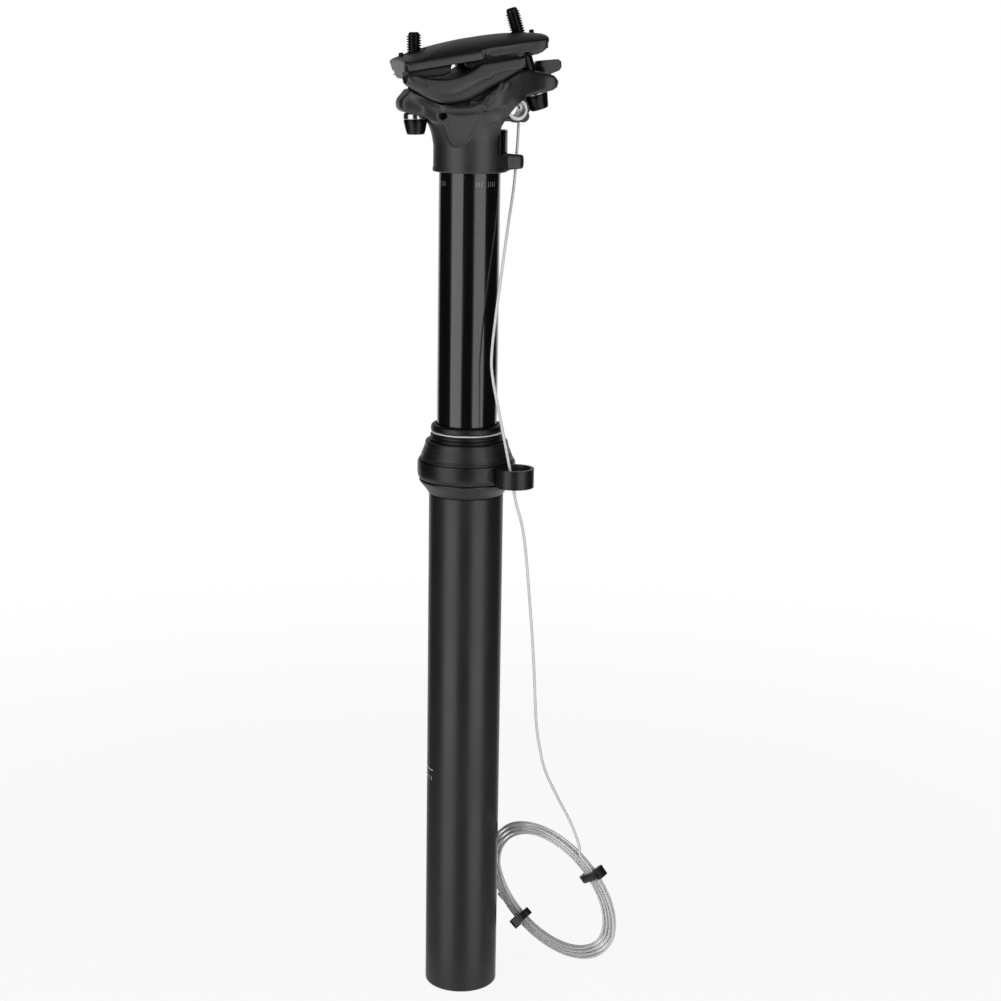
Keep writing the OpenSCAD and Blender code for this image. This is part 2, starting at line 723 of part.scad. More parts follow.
module clamp_bolt() {
    difference() {
        union() {
            translate([0, 0, washer_seat - 5]) cylinder(h = 5, r1 = bolt_head_r - 1.2, r2 = bolt_head_r);
            translate([0, 0, washer_seat - 6])
                cylinder(h = 1, r1 = bolt_head_r - 1.6, r2 = bolt_head_r - 1.2);
            cylinder(h = bolt_reach - 0.6, r = bolt_r);
            translate([0, 0, bolt_reach - 0.6]) cylinder(h = 0.6, r1 = bolt_r, r2 = bolt_r - 0.6);
        }
        translate([0, 0, washer_seat - 7]) cylinder(h = 4.5, r = 2.85, $fn = 6);
    }
}

// Barrel nut lying across the plate, with its upper side flat
module barrel_nut(u, front) {
    difference() {
        at_clamp() translate([u, 0, nut_w]) difference() {
            side_slab(nut_half) circle(r = nut_r);
            translate([-10, -20, nut_lid]) cube([20, 40, 20]);
        }
        if (front) at_front_bolt() cylinder(h = 60, r = bolt_r + nut_play);
        if (!front) at_rear_bolt() cylinder(h = 60, r = bolt_r + nut_play);
    }
}

module front_washer() {
    color("silver") at_front_bolt() washer();
}

module rear_washer() {
    color("silver") at_rear_bolt() washer();
}

module front_bolt() {
    color([0.08, 0.08, 0.08]) at_front_bolt() clamp_bolt();
}

module rear_bolt() {
    color([0.08, 0.08, 0.08]) at_rear_bolt() clamp_bolt();
}

module front_nut() {
    color([0.15, 0.15, 0.15]) barrel_nut(front_nut_u, true);
}

module rear_nut() {
    color([0.15, 0.15, 0.15]) barrel_nut(rear_nut_u, false);
}

// Lever with its arm in the head, an eyelet boss behind the neck and a thumb tab beside the rear ear
module actuator_lever() {
    tab_in = ear_half + 1.1;
    tab_w = 4.8;
    color([0.1, 0.1, 0.1]) at_neck() difference() {
        union() {
            side_slab(lever_half) union() {
                polygon([[pivot_x, lever_under], [13, lever_under], [17.5, 20.6], [eyelet_x, 30.6],
                    [12, 27], [0, 25], [-8, 25], [pivot_x, pivot_z + pivot_boss_r - 0.4]]);
                translate([pivot_x, pivot_z]) circle(r = pivot_boss_r);
                translate([eyelet_x, eyelet_z]) circle(r = boss_r);
            }
            translate([22, tab_in + tab_w, 22.6]) rotate([90, 0, 0]) cylinder(h = tab_in + tab_w, r = 2.6);
            translate([0, tab_in + tab_w, 0]) rotate([90, 0, 0]) linear_extrude(height = tab_w)
                polygon([[20.4, 20.6], [24, 20.8], [31.5, 30.4], [35.6, 39.6], [39, 41], [39.8, 42.4],
                    [39.6, 44.6], [38.4, 45.5], [29.6, 44.7], [28.2, 43], [27.4, 36], [25.4, 29.4],
                    [19.8, 24.4]]);
        }
        translate([pivot_x, 0, pivot_z]) side_slab(30) circle(r = pivot_r + slide_fit);
        translate([eyelet_x, 0, eyelet_z]) side_slab(30) circle(r = anchor_r - 0.9);
        translate([wire_top_x, 0, eyelet_z - 8]) cylinder(h = 5, r = wire_d / 2 + 0.4);
    }
}

// Hollow flanged barrel that holds the cable's upper end
module cable_anchor() {
    color([0.75, 0.75, 0.76]) translate([eyelet_x, 0, neck_z + eyelet_z]) difference() {
        union() {
            side_slab(lever_half) circle(r = anchor_r - 0.9 - fit);
            translate([0, -lever_half - anchor_rim / 2, 0]) side_slab(anchor_rim / 2) circle(r = anchor_r);
        }
        side_slab(20) circle(r = anchor_hole_r);
    }
}

module cable_upper() {
    color([0.8, 0.8, 0.8]) wire(upper_path, wire_d / 2, ring_sides, [0, 1, 0]);
}

module cable_lower() {
    color([0.8, 0.8, 0.8]) wire(lower_path, wire_d / 2, ring_sides, [0, 1, 0]);
}

module cable_coil() {
    color([0.7, 0.7, 0.7]) wire(coil_path, wire_d / 2, coil_sides, coil_n);
}

// Frame on the coil's bundle at an angle: X outwards, Y along the wire, Z along the coil's axis
module at_coil(angle) {
    out = cos(angle) * coil_x + sin(angle) * coil_y;
    along = cross(coil_n, out);
    multmatrix([[out[0], along[0], coil_n[0], coil_centre[0]], [out[1], along[1], coil_n[1], coil_centre[1]],
        [out[2], along[2], coil_n[2], coil_centre[2]], [0, 0, 0, 1]]) children();
}

// Tie round the bundle, with a head outside it and a tail inside
module coil_tie(angle) {
    bundle_in = coil_r - coil_pitch * coil_flip - wire_d / 2 - face_gap;
    bundle_out = coil_r + wire_d / 2 + face_gap;
    low = -wire_d / 2 - face_gap;
    high = coil_pitch + wire_d / 2 + face_gap;
    color([0.1, 0.1, 0.1]) at_coil(angle) difference() {
        union() {
            translate([bundle_in - tie_t, -tie_w / 2, low - tie_t])
                cube([bundle_out - bundle_in + 2 * tie_t, tie_w, high - low + 2 * tie_t]);
            translate([bundle_out + tie_t - eps, -tie_head[1] / 2, low - 0.6])
                cube([tie_head[0], tie_head[1], high - low + 1.2]);
            translate([bundle_in - tie_t - tie_tail[0] + eps, -tie_tail[1] / 2, low])
                cube([tie_tail[0], tie_tail[1], high - low]);
        }
        translate([bundle_in, -10, low]) cube([bundle_out - bundle_in, 20, high - low]);
    }
}

module coil_tie_upper() {
    coil_tie(tie_upper_at);
}

module coil_tie_lower() {
    coil_tie(tie_lower_at);
}

// Crimped end cap, in line with the last of the wire
module cable_tip() {
    z = coil_heading(coil_total);
    x = unit(cross(coil_n, z));
    y = cross(z, x);
    color("silver") multmatrix([[x[0], y[0], z[0], coil_last[0]], [x[1], y[1], z[1], coil_last[1]],
        [x[2], y[2], z[2], coil_last[2]], [0, 0, 0, 1]]) cylinder(h = tip_len, r = tip_r);
}

outer_tube();
bottom_plug();
rod_bolt();
piston_rod();
piston_head();
piston_seal();
upper_bushing();
collar_nut();
wiper_seal();
wiper_ring();
guide_clip();
stanchion();
lower_bushing();
retaining_ring();
key_pins();
cartridge_tube();
cartridge_gland();
top_out_bumper();
valve_body();
head();
lever_pin();
rear_cover();
lower_cradle();
upper_clamp();
nut_pins();
front_washer();
rear_washer();
front_bolt();
rear_bolt();
front_nut();
rear_nut();
actuator_lever();
cable_anchor();
valve_pin();
cable_upper();
cable_lower();
cable_coil();
coil_tie_upper();
coil_tie_lower();
cable_tip();
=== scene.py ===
import math

import bpy
from mathutils import Matrix, Vector


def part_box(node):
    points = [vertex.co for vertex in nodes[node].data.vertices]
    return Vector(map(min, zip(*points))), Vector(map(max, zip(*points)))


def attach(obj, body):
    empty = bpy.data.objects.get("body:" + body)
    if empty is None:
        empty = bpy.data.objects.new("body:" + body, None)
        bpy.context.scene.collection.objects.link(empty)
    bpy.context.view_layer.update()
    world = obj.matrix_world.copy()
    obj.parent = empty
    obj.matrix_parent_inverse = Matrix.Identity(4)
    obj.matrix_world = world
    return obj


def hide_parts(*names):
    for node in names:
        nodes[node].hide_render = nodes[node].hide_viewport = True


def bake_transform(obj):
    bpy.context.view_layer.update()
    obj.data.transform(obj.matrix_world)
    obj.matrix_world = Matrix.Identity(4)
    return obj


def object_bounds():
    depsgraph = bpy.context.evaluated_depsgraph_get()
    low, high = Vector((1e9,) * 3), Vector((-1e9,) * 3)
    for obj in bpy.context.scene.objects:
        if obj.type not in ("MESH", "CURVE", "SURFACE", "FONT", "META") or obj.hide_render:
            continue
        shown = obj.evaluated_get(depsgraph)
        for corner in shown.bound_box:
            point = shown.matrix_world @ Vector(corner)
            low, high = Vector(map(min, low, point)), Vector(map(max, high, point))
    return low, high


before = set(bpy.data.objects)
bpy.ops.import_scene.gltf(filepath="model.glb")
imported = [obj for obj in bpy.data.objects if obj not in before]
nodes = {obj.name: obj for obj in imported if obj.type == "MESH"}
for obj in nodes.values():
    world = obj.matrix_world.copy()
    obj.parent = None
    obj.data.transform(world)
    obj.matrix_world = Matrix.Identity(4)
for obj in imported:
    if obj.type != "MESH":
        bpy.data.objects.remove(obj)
cadLow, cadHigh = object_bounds()
mm = 0.001
print("frame:", len(nodes), "nodes")


# Small helpers for working by hand in object and edit mode

def setMode(mode):
    bpy.ops.object.mode_set(mode=mode)


def deselectAll():
    if bpy.context.object and bpy.context.object.mode != "OBJECT":
        setMode("OBJECT")
    bpy.ops.object.select_all(action="DESELECT")


def pick(piece):
    deselectAll()
    piece.select_set(True)
    bpy.context.view_layer.objects.active = piece


def closeMesh(piece):
    pick(piece)
    setMode("EDIT")
    bpy.ops.mesh.select_all(action="SELECT")
    bpy.ops.mesh.remove_doubles(threshold=0.004 * mm)
    bpy.ops.mesh.normals_make_consistent(inside=False)
    setMode("OBJECT")


def smoothRegion(piece, passes, test):
    pick(piece)
    setMode("EDIT")
    bpy.ops.mesh.select_mode(type="VERT")
    bpy.ops.mesh.select_all(action="DESELECT")
    setMode("OBJECT")
    for vert in piece.data.vertices:
        vert.select = test(vert.co.x, abs(vert.co.y), vert.co.z)
    setMode("EDIT")
    bpy.ops.mesh.vertices_smooth(factor=0.5, repeat=passes)
    setMode("OBJECT")


def useModifier(piece, kind, **settings):
    pick(piece)
    bpy.ops.object.modifier_add(type=kind)
    modifier = piece.modifiers[-1]
    for key, value in settings.items():
        setattr(modifier, key, value)
    bpy.ops.object.modifier_apply(modifier=modifier.name)


def softenEdges(piece, width, angle, segments=2):
    useModifier(piece, "BEVEL", width=width * mm, segments=segments, limit_method="ANGLE",
                angle_limit=math.radians(angle), harden_normals=False)


def smoothShade(piece, angle=32):
    pick(piece)
    bpy.ops.object.shade_smooth_by_angle(angle=math.radians(angle))


# Place in millimetres, with a turn in degrees about one axis
def at(x, y, z, turn=0, axis="Y"):
    return Matrix.Translation((x * mm, y * mm, z * mm)) @ Matrix.Rotation(math.radians(turn), 4, axis)


def place(piece, matrix):
    pick(piece)
    piece.matrix_world = matrix
    bpy.ops.object.transform_apply(location=True, rotation=True, scale=True)


def placeAll(pieces, matrix):
    for piece in pieces:
        place(piece, matrix)


def cut(piece, cutter, operation="DIFFERENCE"):
    useModifier(piece, "BOOLEAN", operation=operation, solver="EXACT", object=cutter)
    bpy.data.objects.remove(cutter)


def cutAll(piece, cutters):
    cut(piece, joinPieces("cutters", cutters))


def joinPieces(name, pieces):
    deselectAll()
    for piece in pieces:
        piece.select_set(True)
    bpy.context.view_layer.objects.active = pieces[0]
    bpy.ops.object.join()
    pieces[0].name = name
    return pieces[0]


def finishPiece(piece, look, body, slot, *replaced):
    piece.data.materials.clear()
    piece.data.materials.append(finish[look])
    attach(piece, body)
    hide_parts(*replaced)


# Turned piece: a circle pulled along its profile, a list of radius and height
def turned(name, profile, sides=128, shade=32):
    deselectAll()
    radius, height = profile[0]
    bpy.ops.mesh.primitive_circle_add(vertices=sides, radius=radius * mm, location=(0, 0, 0))
    piece = bpy.context.object
    piece.name = name
    setMode("EDIT")
    bpy.ops.mesh.select_all(action="SELECT")
    bpy.ops.transform.translate(value=(0, 0, height * mm))
    for step in profile[1:]:
        bpy.ops.mesh.extrude_region_move(
            TRANSFORM_OT_translate={"value": (0, 0, (step[1] - height) * mm)})
        grow = step[0] / radius
        bpy.ops.transform.resize(value=(grow, grow, 1), center_override=(0, 0, step[1] * mm))
        radius, height = step
    if profile[-1] != profile[0]:
        bpy.ops.mesh.edge_face_add()
        bpy.ops.mesh.select_all(action="DESELECT")
        setMode("OBJECT")
        for vert in piece.data.vertices[:sides]:
            vert.select = True
        setMode("EDIT")
        bpy.ops.mesh.edge_face_add()
    setMode("OBJECT")
    closeMesh(piece)
    smoothShade(piece, shade)
    return piece


def rod(name, radius, low, high, sides):
    tiny = 0.2  # the ends start from a small circle, as a turned profile can't start at no radius
    return turned(name, [(tiny, low), (radius, low), (radius, high), (tiny, high)], sides)


# Flat outline with X and Z in millimetres, pulled across from one Y to another
def sawn(name, outline, fromY, toY):
    deselectAll()
    bpy.ops.mesh.primitive_circle_add(vertices=len(outline), radius=mm, fill_type="NGON")
    piece = bpy.context.object
    piece.name = name
    for vert, (x, z) in zip(piece.data.vertices, outline):
        vert.co = (x * mm, fromY * mm, z * mm)
    setMode("EDIT")
    bpy.ops.mesh.select_all(action="SELECT")
    bpy.ops.mesh.extrude_region_move(TRANSFORM_OT_translate={"value": (0, (toY - fromY) * mm, 0)})
    setMode("OBJECT")
    closeMesh(piece)
    return piece


def slab(name, left, right, low, high, fromY, toY):
    return sawn(name, [(left, low), (right, low), (right, high), (left, high)], fromY, toY)


# Closed form through rings of the same count, each pulled out of the last as an extrusion
def lofted(name, rings):
    count = len(rings[0])
    deselectAll()
    bpy.ops.mesh.primitive_circle_add(vertices=count, radius=mm, fill_type="NGON")
    piece = bpy.context.object
    piece.name = name
    for vert, point in zip(piece.data.vertices, rings[0]):
        vert.co = Vector(point) * mm
    for number, ring in enumerate(rings[1:], 1):
        setMode("EDIT")
        if number == 1:
            bpy.ops.mesh.select_all(action="SELECT")
        bpy.ops.mesh.extrude_region_move(TRANSFORM_OT_translate={"value": (0.001 * mm, 0, 0)})
        setMode("OBJECT")
        for vert, point in zip(piece.data.vertices[number * count:(number + 1) * count], ring):
            vert.co = Vector(point) * mm
    closeMesh(piece)
    return piece


# Outline seen from the side, between two distances from the middle plane
def sideForm(name, outline, fromY, toY):
    return lofted(name, [[(u, y, w) for u, w in outline] for y in (fromY, toY)])


# Outline seen from above, between two heights
def planForm(name, outline, low, high):
    return lofted(name, [[(x, y, z) for x, y in outline] for z in (low, high)])


def bothSides(outline):
    return outline + [(x, -y) for x, y in reversed(outline)]


def mirrored(piece):
    other = piece.copy()
    other.data = piece.data.copy()
    bpy.context.scene.collection.objects.link(other)
    place(other, Matrix.Diagonal((1, -1, 1, 1)))
    closeMesh(other)
    return other


# Copy of a CAD node with its loose triangles merged, to be cast smooth
def copyOf(node, name):
    piece = nodes[node].copy()
    piece.data = piece.data.copy()
    piece.name = name
    for key in list(piece.keys()):
        del piece[key]
    piece.parent = None
    bpy.context.scene.collection.objects.link(piece)
    closeMesh(piece)
    return piece


def remesh(piece, voxel):
    useModifier(piece, "REMESH", mode="VOXEL", voxel_size=voxel * mm, use_smooth_shade=True)


def castSmooth(piece, voxel, passes):
    remesh(piece, voxel)
    useModifier(piece, "SMOOTH", factor=0.5, iterations=passes)
    smoothShade(piece, 60)


# Materials

def toLinear(hexColour):
    channels = [int(hexColour[i:i + 2], 16) / 255 for i in (1, 3, 5)]
    return [c / 12.92 if c <= 0.04045 else ((c + 0.055) / 1.055) ** 2.4 for c in channels] + [1.0]


def addNode(tree, kind, inputs=None, **settings):
    node = tree.nodes.new("ShaderNode" + kind)
    for key, value in settings.items():
        setattr(node, key, value)
    for key, value in (inputs or {}).items():
        if isinstance(value, bpy.types.NodeSocket):
            tree.links.new(value, node.inputs[key])
        else:
            node.inputs[key].default_value = value
    return node


def newMaterial(name, colour, **sockets):
    material = bpy.data.materials.new(name)
    material.use_nodes = True
    tree = material.node_tree
    surface = tree.nodes["Principled BSDF"]
    surface.inputs["Base Color"].default_value = toLinear(colour)
    for key, value in sockets.items():
        surface.inputs[key.replace("_", " ")].default_value = value
    return material, tree, addNode(tree, "TexCoord").outputs["Object"]


def perMetre(sizeMm):
    return 1000 / sizeMm  # texture scale for a feature of this size, in object metres


def calc(tree, operation, *values):
    return addNode(tree, "Math", dict(enumerate(values)), operation=operation).outputs[0]


def ramp(tree, value, source, target, interpolation="LINEAR"):
    return addNode(tree, "MapRange", {
        "Value": value, "From Min": source[0], "From Max": source[1], "To Min": target[0],
        "To Max": target[1]}, interpolation_type=interpolation).outputs["Result"]


def noise(tree, where, scale, detail=2.0, roughness=0.5):
    return addNode(tree, "TexNoise", {"Vector": where, "Scale": scale, "Detail": detail,
                                      "Roughness": roughness}).outputs["Fac"]


def stretched(tree, where, scales):
    return addNode(tree, "Mapping", {"Vector": where, "Scale": scales}).outputs["Vector"]


def mixColours(tree, share, first, second):
    return addNode(tree, "Mix", {0: share, 6: toLinear(first), 7: toLinear(second)},
                   data_type="RGBA").outputs[2]


def feed(tree, socket, value):
    tree.links.new(value, tree.nodes["Principled BSDF"].inputs[socket])


def varyRoughness(tree, pattern, low, high):
    feed(tree, "Roughness", ramp(tree, pattern, (0.3, 0.7), (low, high)))


def emboss(tree, height, strength, depth):
    bump = addNode(tree, "Bump", {"Height": height, "Strength": strength, "Distance": depth * mm})
    feed(tree, "Normal", bump.outputs["Normal"])


# Marks round the post in another colour, each from an angle to another and between two heights in mm
def addMarks(tree, place, look):
    facing = addNode(tree, "VectorRotate", {"Vector": place, "Angle": math.radians(look["inkTurn"])},
                     rotation_type="Z_AXIS")
    split = addNode(tree, "SeparateXYZ", {"Vector": facing.outputs["Vector"]})
    angle = calc(tree, "ARCTAN2", split.outputs["Y"], split.outputs["X"])
    total = 0.0
    for start, end, low, high in look["marks"]:
        inTurn = calc(tree, "COMPARE", angle, math.radians((start + end) / 2),
                      math.radians((end - start) / 2))
        inHeight = calc(tree, "COMPARE", split.outputs["Z"], (low + high) / 2 * mm, (high - low) / 2 * mm)
        total = calc(tree, "MAXIMUM", total, calc(tree, "MULTIPLY", inTurn, inHeight))
    feed(tree, "Base Color", mixColours(tree, total, look["colour"], look["ink"]))


# Anodised 6061 tube, bead blasted: a satin black whose highlights are wide and a little grainy,
# with the insertion line and its ticks printed on it
def makeSatinAnodised():
    look = {"colour": "#1b1b1c", "grain": 0.35, "cloud": 18, "ink": "#c8c8c8", "inkTurn": 186,
            "marks": [(-30, 30, 1.2, 1.75)] + [(t - 0.8, t + 0.8, -3.3, -1.4)
                                               for t in (-26, -17, -8, 8, 17, 26)]}
    material, tree, place = newMaterial("satinAnodisedTube", look["colour"], Roughness=0.36,
                                        Specular_IOR_Level=0.6)
    addMarks(tree, place, look)
    varyRoughness(tree, noise(tree, place, perMetre(look["cloud"] * 2)), 0.32, 0.4)
    emboss(tree, noise(tree, place, perMetre(look["grain"] * 2), 3.0, 0.6), 0.12, 0.05)
    return material


# Hard-anodised and polished slider: near black, glossy, with faint draw lines along it, etched ticks
def makeGlossAnodised():
    look = {"colour": "#0b0b0c", "lineWidth": 0.5, "lineLength": 60, "ink": "#6c6c6c", "inkTurn": 101,
            "marks": [(t - 1, t + 1, 253.6, 255.6)
                      for t in (-66, -61, -56, -51, 14, 19, 24, 38, 43, 48, 53)]}
    material, tree, place = newMaterial("glossAnodisedSlider", look["colour"], Roughness=0.13,
                                        Specular_IOR_Level=0.9)
    addMarks(tree, place, look)
    across = perMetre(look["lineWidth"] * 2)
    draw = noise(tree, stretched(tree, place, (across, across, perMetre(look["lineLength"]))), 1.0)
    varyRoughness(tree, draw, 0.09, 0.2)
    emboss(tree, draw, 0.06, 0.02)
    return material


# Forged and blasted aluminium, black anodised: a matte charcoal with a fine sand-like skin
def makeForged():
    look = {"tones": ("#171718", "#1f1f20"), "sand": 0.45, "cloud": 9}
    material, tree, place = newMaterial("forgedBlackAluminium", "#1c1c1d", Roughness=0.5,
                                        Specular_IOR_Level=0.8)
    cloud = noise(tree, place, perMetre(look["cloud"] * 2), 3.0)
    feed(tree, "Base Color", mixColours(tree, cloud, *look["tones"]))
    sand = noise(tree, place, perMetre(look["sand"] * 2), 4.0, 0.65)
    varyRoughness(tree, sand, 0.38, 0.52)
    emboss(tree, sand, 0.25, 0.08)
    return material


# Turned and anodised collar: charcoal with the fine rings that the tool left
def makeTurned():
    look = {"ring": 0.6, "streakLength": 30, "streakWidth": 0.8}
    material, tree, place = newMaterial("turnedBlackAluminium", "#18181a", Roughness=0.4,
                                        Specular_IOR_Level=0.6)
    rings = addNode(tree, "TexWave", {"Vector": place, "Scale": perMetre(look["ring"]) / 6.283,
                                      "Distortion": 0.6, "Detail": 2.0, "Detail Scale": 0.4},
                    bands_direction="Z")
    along = perMetre(look["streakLength"])
    streak = noise(tree, stretched(tree, place, (along, along, perMetre(look["streakWidth"]))), 1.0, 3.0)
    varyRoughness(tree, streak, 0.32, 0.48)
    emboss(tree, rings.outputs["Fac"], 0.5, 0.02)
    return material


# Moulded polymer, nitrile rubber or polyamide: the mould's fine leathery spark texture on its skin
def makeMoulded(name, colour, low, high, skin=1.1, detail=4.0, relief=0.15):
    material, tree, place = newMaterial(name, colour, Roughness=0.4)
    spark = noise(tree, place, perMetre(skin), detail)
    varyRoughness(tree, spark, low, high)
    emboss(tree, spark, relief, 0.04)
    return material


# Metal with fine turning or drawing marks, bright or blackened
def makeMetal(name, colour, low, high, stretch=(1, 1, 1), metallic=1.0):
    markSize = 0.3
    material, tree, place = newMaterial(name, colour, Metallic=metallic, Roughness=low)
    marks = noise(tree, stretched(tree, place, [perMetre(markSize * 2) * s for s in stretch]), 1.0, 3.0)
    varyRoughness(tree, marks, low, high)
    emboss(tree, marks, 0.08, 0.02)
    return material


# Stainless wire rope: a near-white painted sheen stands in for the steel's reflection, and the strands' lay
# shows as slanting lines of painted shade between strands and painted highlight on them
def makeWire():
    look = {"strands": 6, "lay": 7, "tones": ("#d6d6d6", "#fafafa")}
    material, tree, _ = newMaterial("stainlessWireRope", "#f0f0f0", Metallic=0.3, Roughness=0.3)
    along = addNode(tree, "UVMap", uv_map="wireRun")
    split = addNode(tree, "SeparateXYZ", {"Vector": along.outputs["UV"]})
    turn = calc(tree, "MULTIPLY", split.outputs["X"], perMetre(look["lay"]))
    phase = calc(tree, "ADD", split.outputs["Y"], turn)
    wave = calc(tree, "SINE", calc(tree, "MULTIPLY", phase, look["strands"] * 2 * math.pi))
    # Painted shade in the grooves between strands, painted highlight (near white, for the steel's reflection)
    # on the strands' crowns
    feed(tree, "Base Color", mixColours(tree, ramp(tree, wave, (-1, 1), (0, 1)), *look["tones"]))
    emboss(tree, wave, 0.3, 0.05)
    return material


# Turned aluminium anchor: bright, with the cross-hatch of the cutter on its face, its grooves painted darker
# (painted shade) and its ridges lighter (painted highlight)
def makeKnurled():
    look = {"spacing": 0.55, "tones": ("#8e8e90", "#dededf")}
    material, tree, place = newMaterial("hatchedBrightAluminium", "#c4c4c6", Metallic=1.0, Roughness=0.3)
    split = addNode(tree, "SeparateXYZ", {"Vector": place})
    heights = []
    for sign in (1, -1):
        slant = calc(tree, "MULTIPLY_ADD", split.outputs["X"], sign, split.outputs["Z"])
        heights.append(calc(tree, "SINE", calc(tree, "MULTIPLY", slant,
                                               perMetre(look["spacing"]) * 2 * math.pi)))
    height = calc(tree, "MAXIMUM", *heights)
    # Painted shade in the hatch's grooves, painted highlight on its ridges
    feed(tree, "Base Color", mixColours(tree, ramp(tree, height, (-1, 1), (0, 1)), *look["tones"]))
    emboss(tree, height, 0.4, 0.05)
    return material


finish = {
    "tube": makeSatinAnodised(),
    "slider": makeGlossAnodised(),
    "forged": makeForged(),
    "turned": makeTurned(),
    "rubber": makeMoulded("mouldedNitrile", "#0f0f0f", 0.28, 0.46, skin=1.6, detail=3.0, relief=0.1),
    "clip": makeMoulded("mouldedPolyamide", "#131314", 0.3, 0.42),
    "tie": makeMoulded("mouldedTieNylon", "#101010", 0.3, 0.45),
    "gloss": makeMoulded("glossCoverAbs", "#0a0a0a", 0.1, 0.2),
    "acetal": makeMoulded("machinedAcetal", "#cfc8b0", 0.35, 0.5),
    "ptfe": makeMoulded("whitePtfe", "#e8e8e4", 0.35, 0.5),
    "blackSteel": makeMetal("blackOxideSteel", "#151515", 0.2, 0.34, metallic=0.6),
    "steel": makeMetal("polishedStainless", "#c9c9c9", 0.12, 0.24),
    "alloy": makeMetal("turnedBrightAluminium", "#bdbec2", 0.22, 0.36, stretch=(0.1, 0.1, 2)),
    "brass": makeMetal("turnedBrass", "#b8923e", 0.25, 0.4),
    "wire": makeWire(),
    "anchor": makeKnurled(),
}
print("materials:", len(finish))


# Camera at the photograph's place, floor, lamps and white surroundings

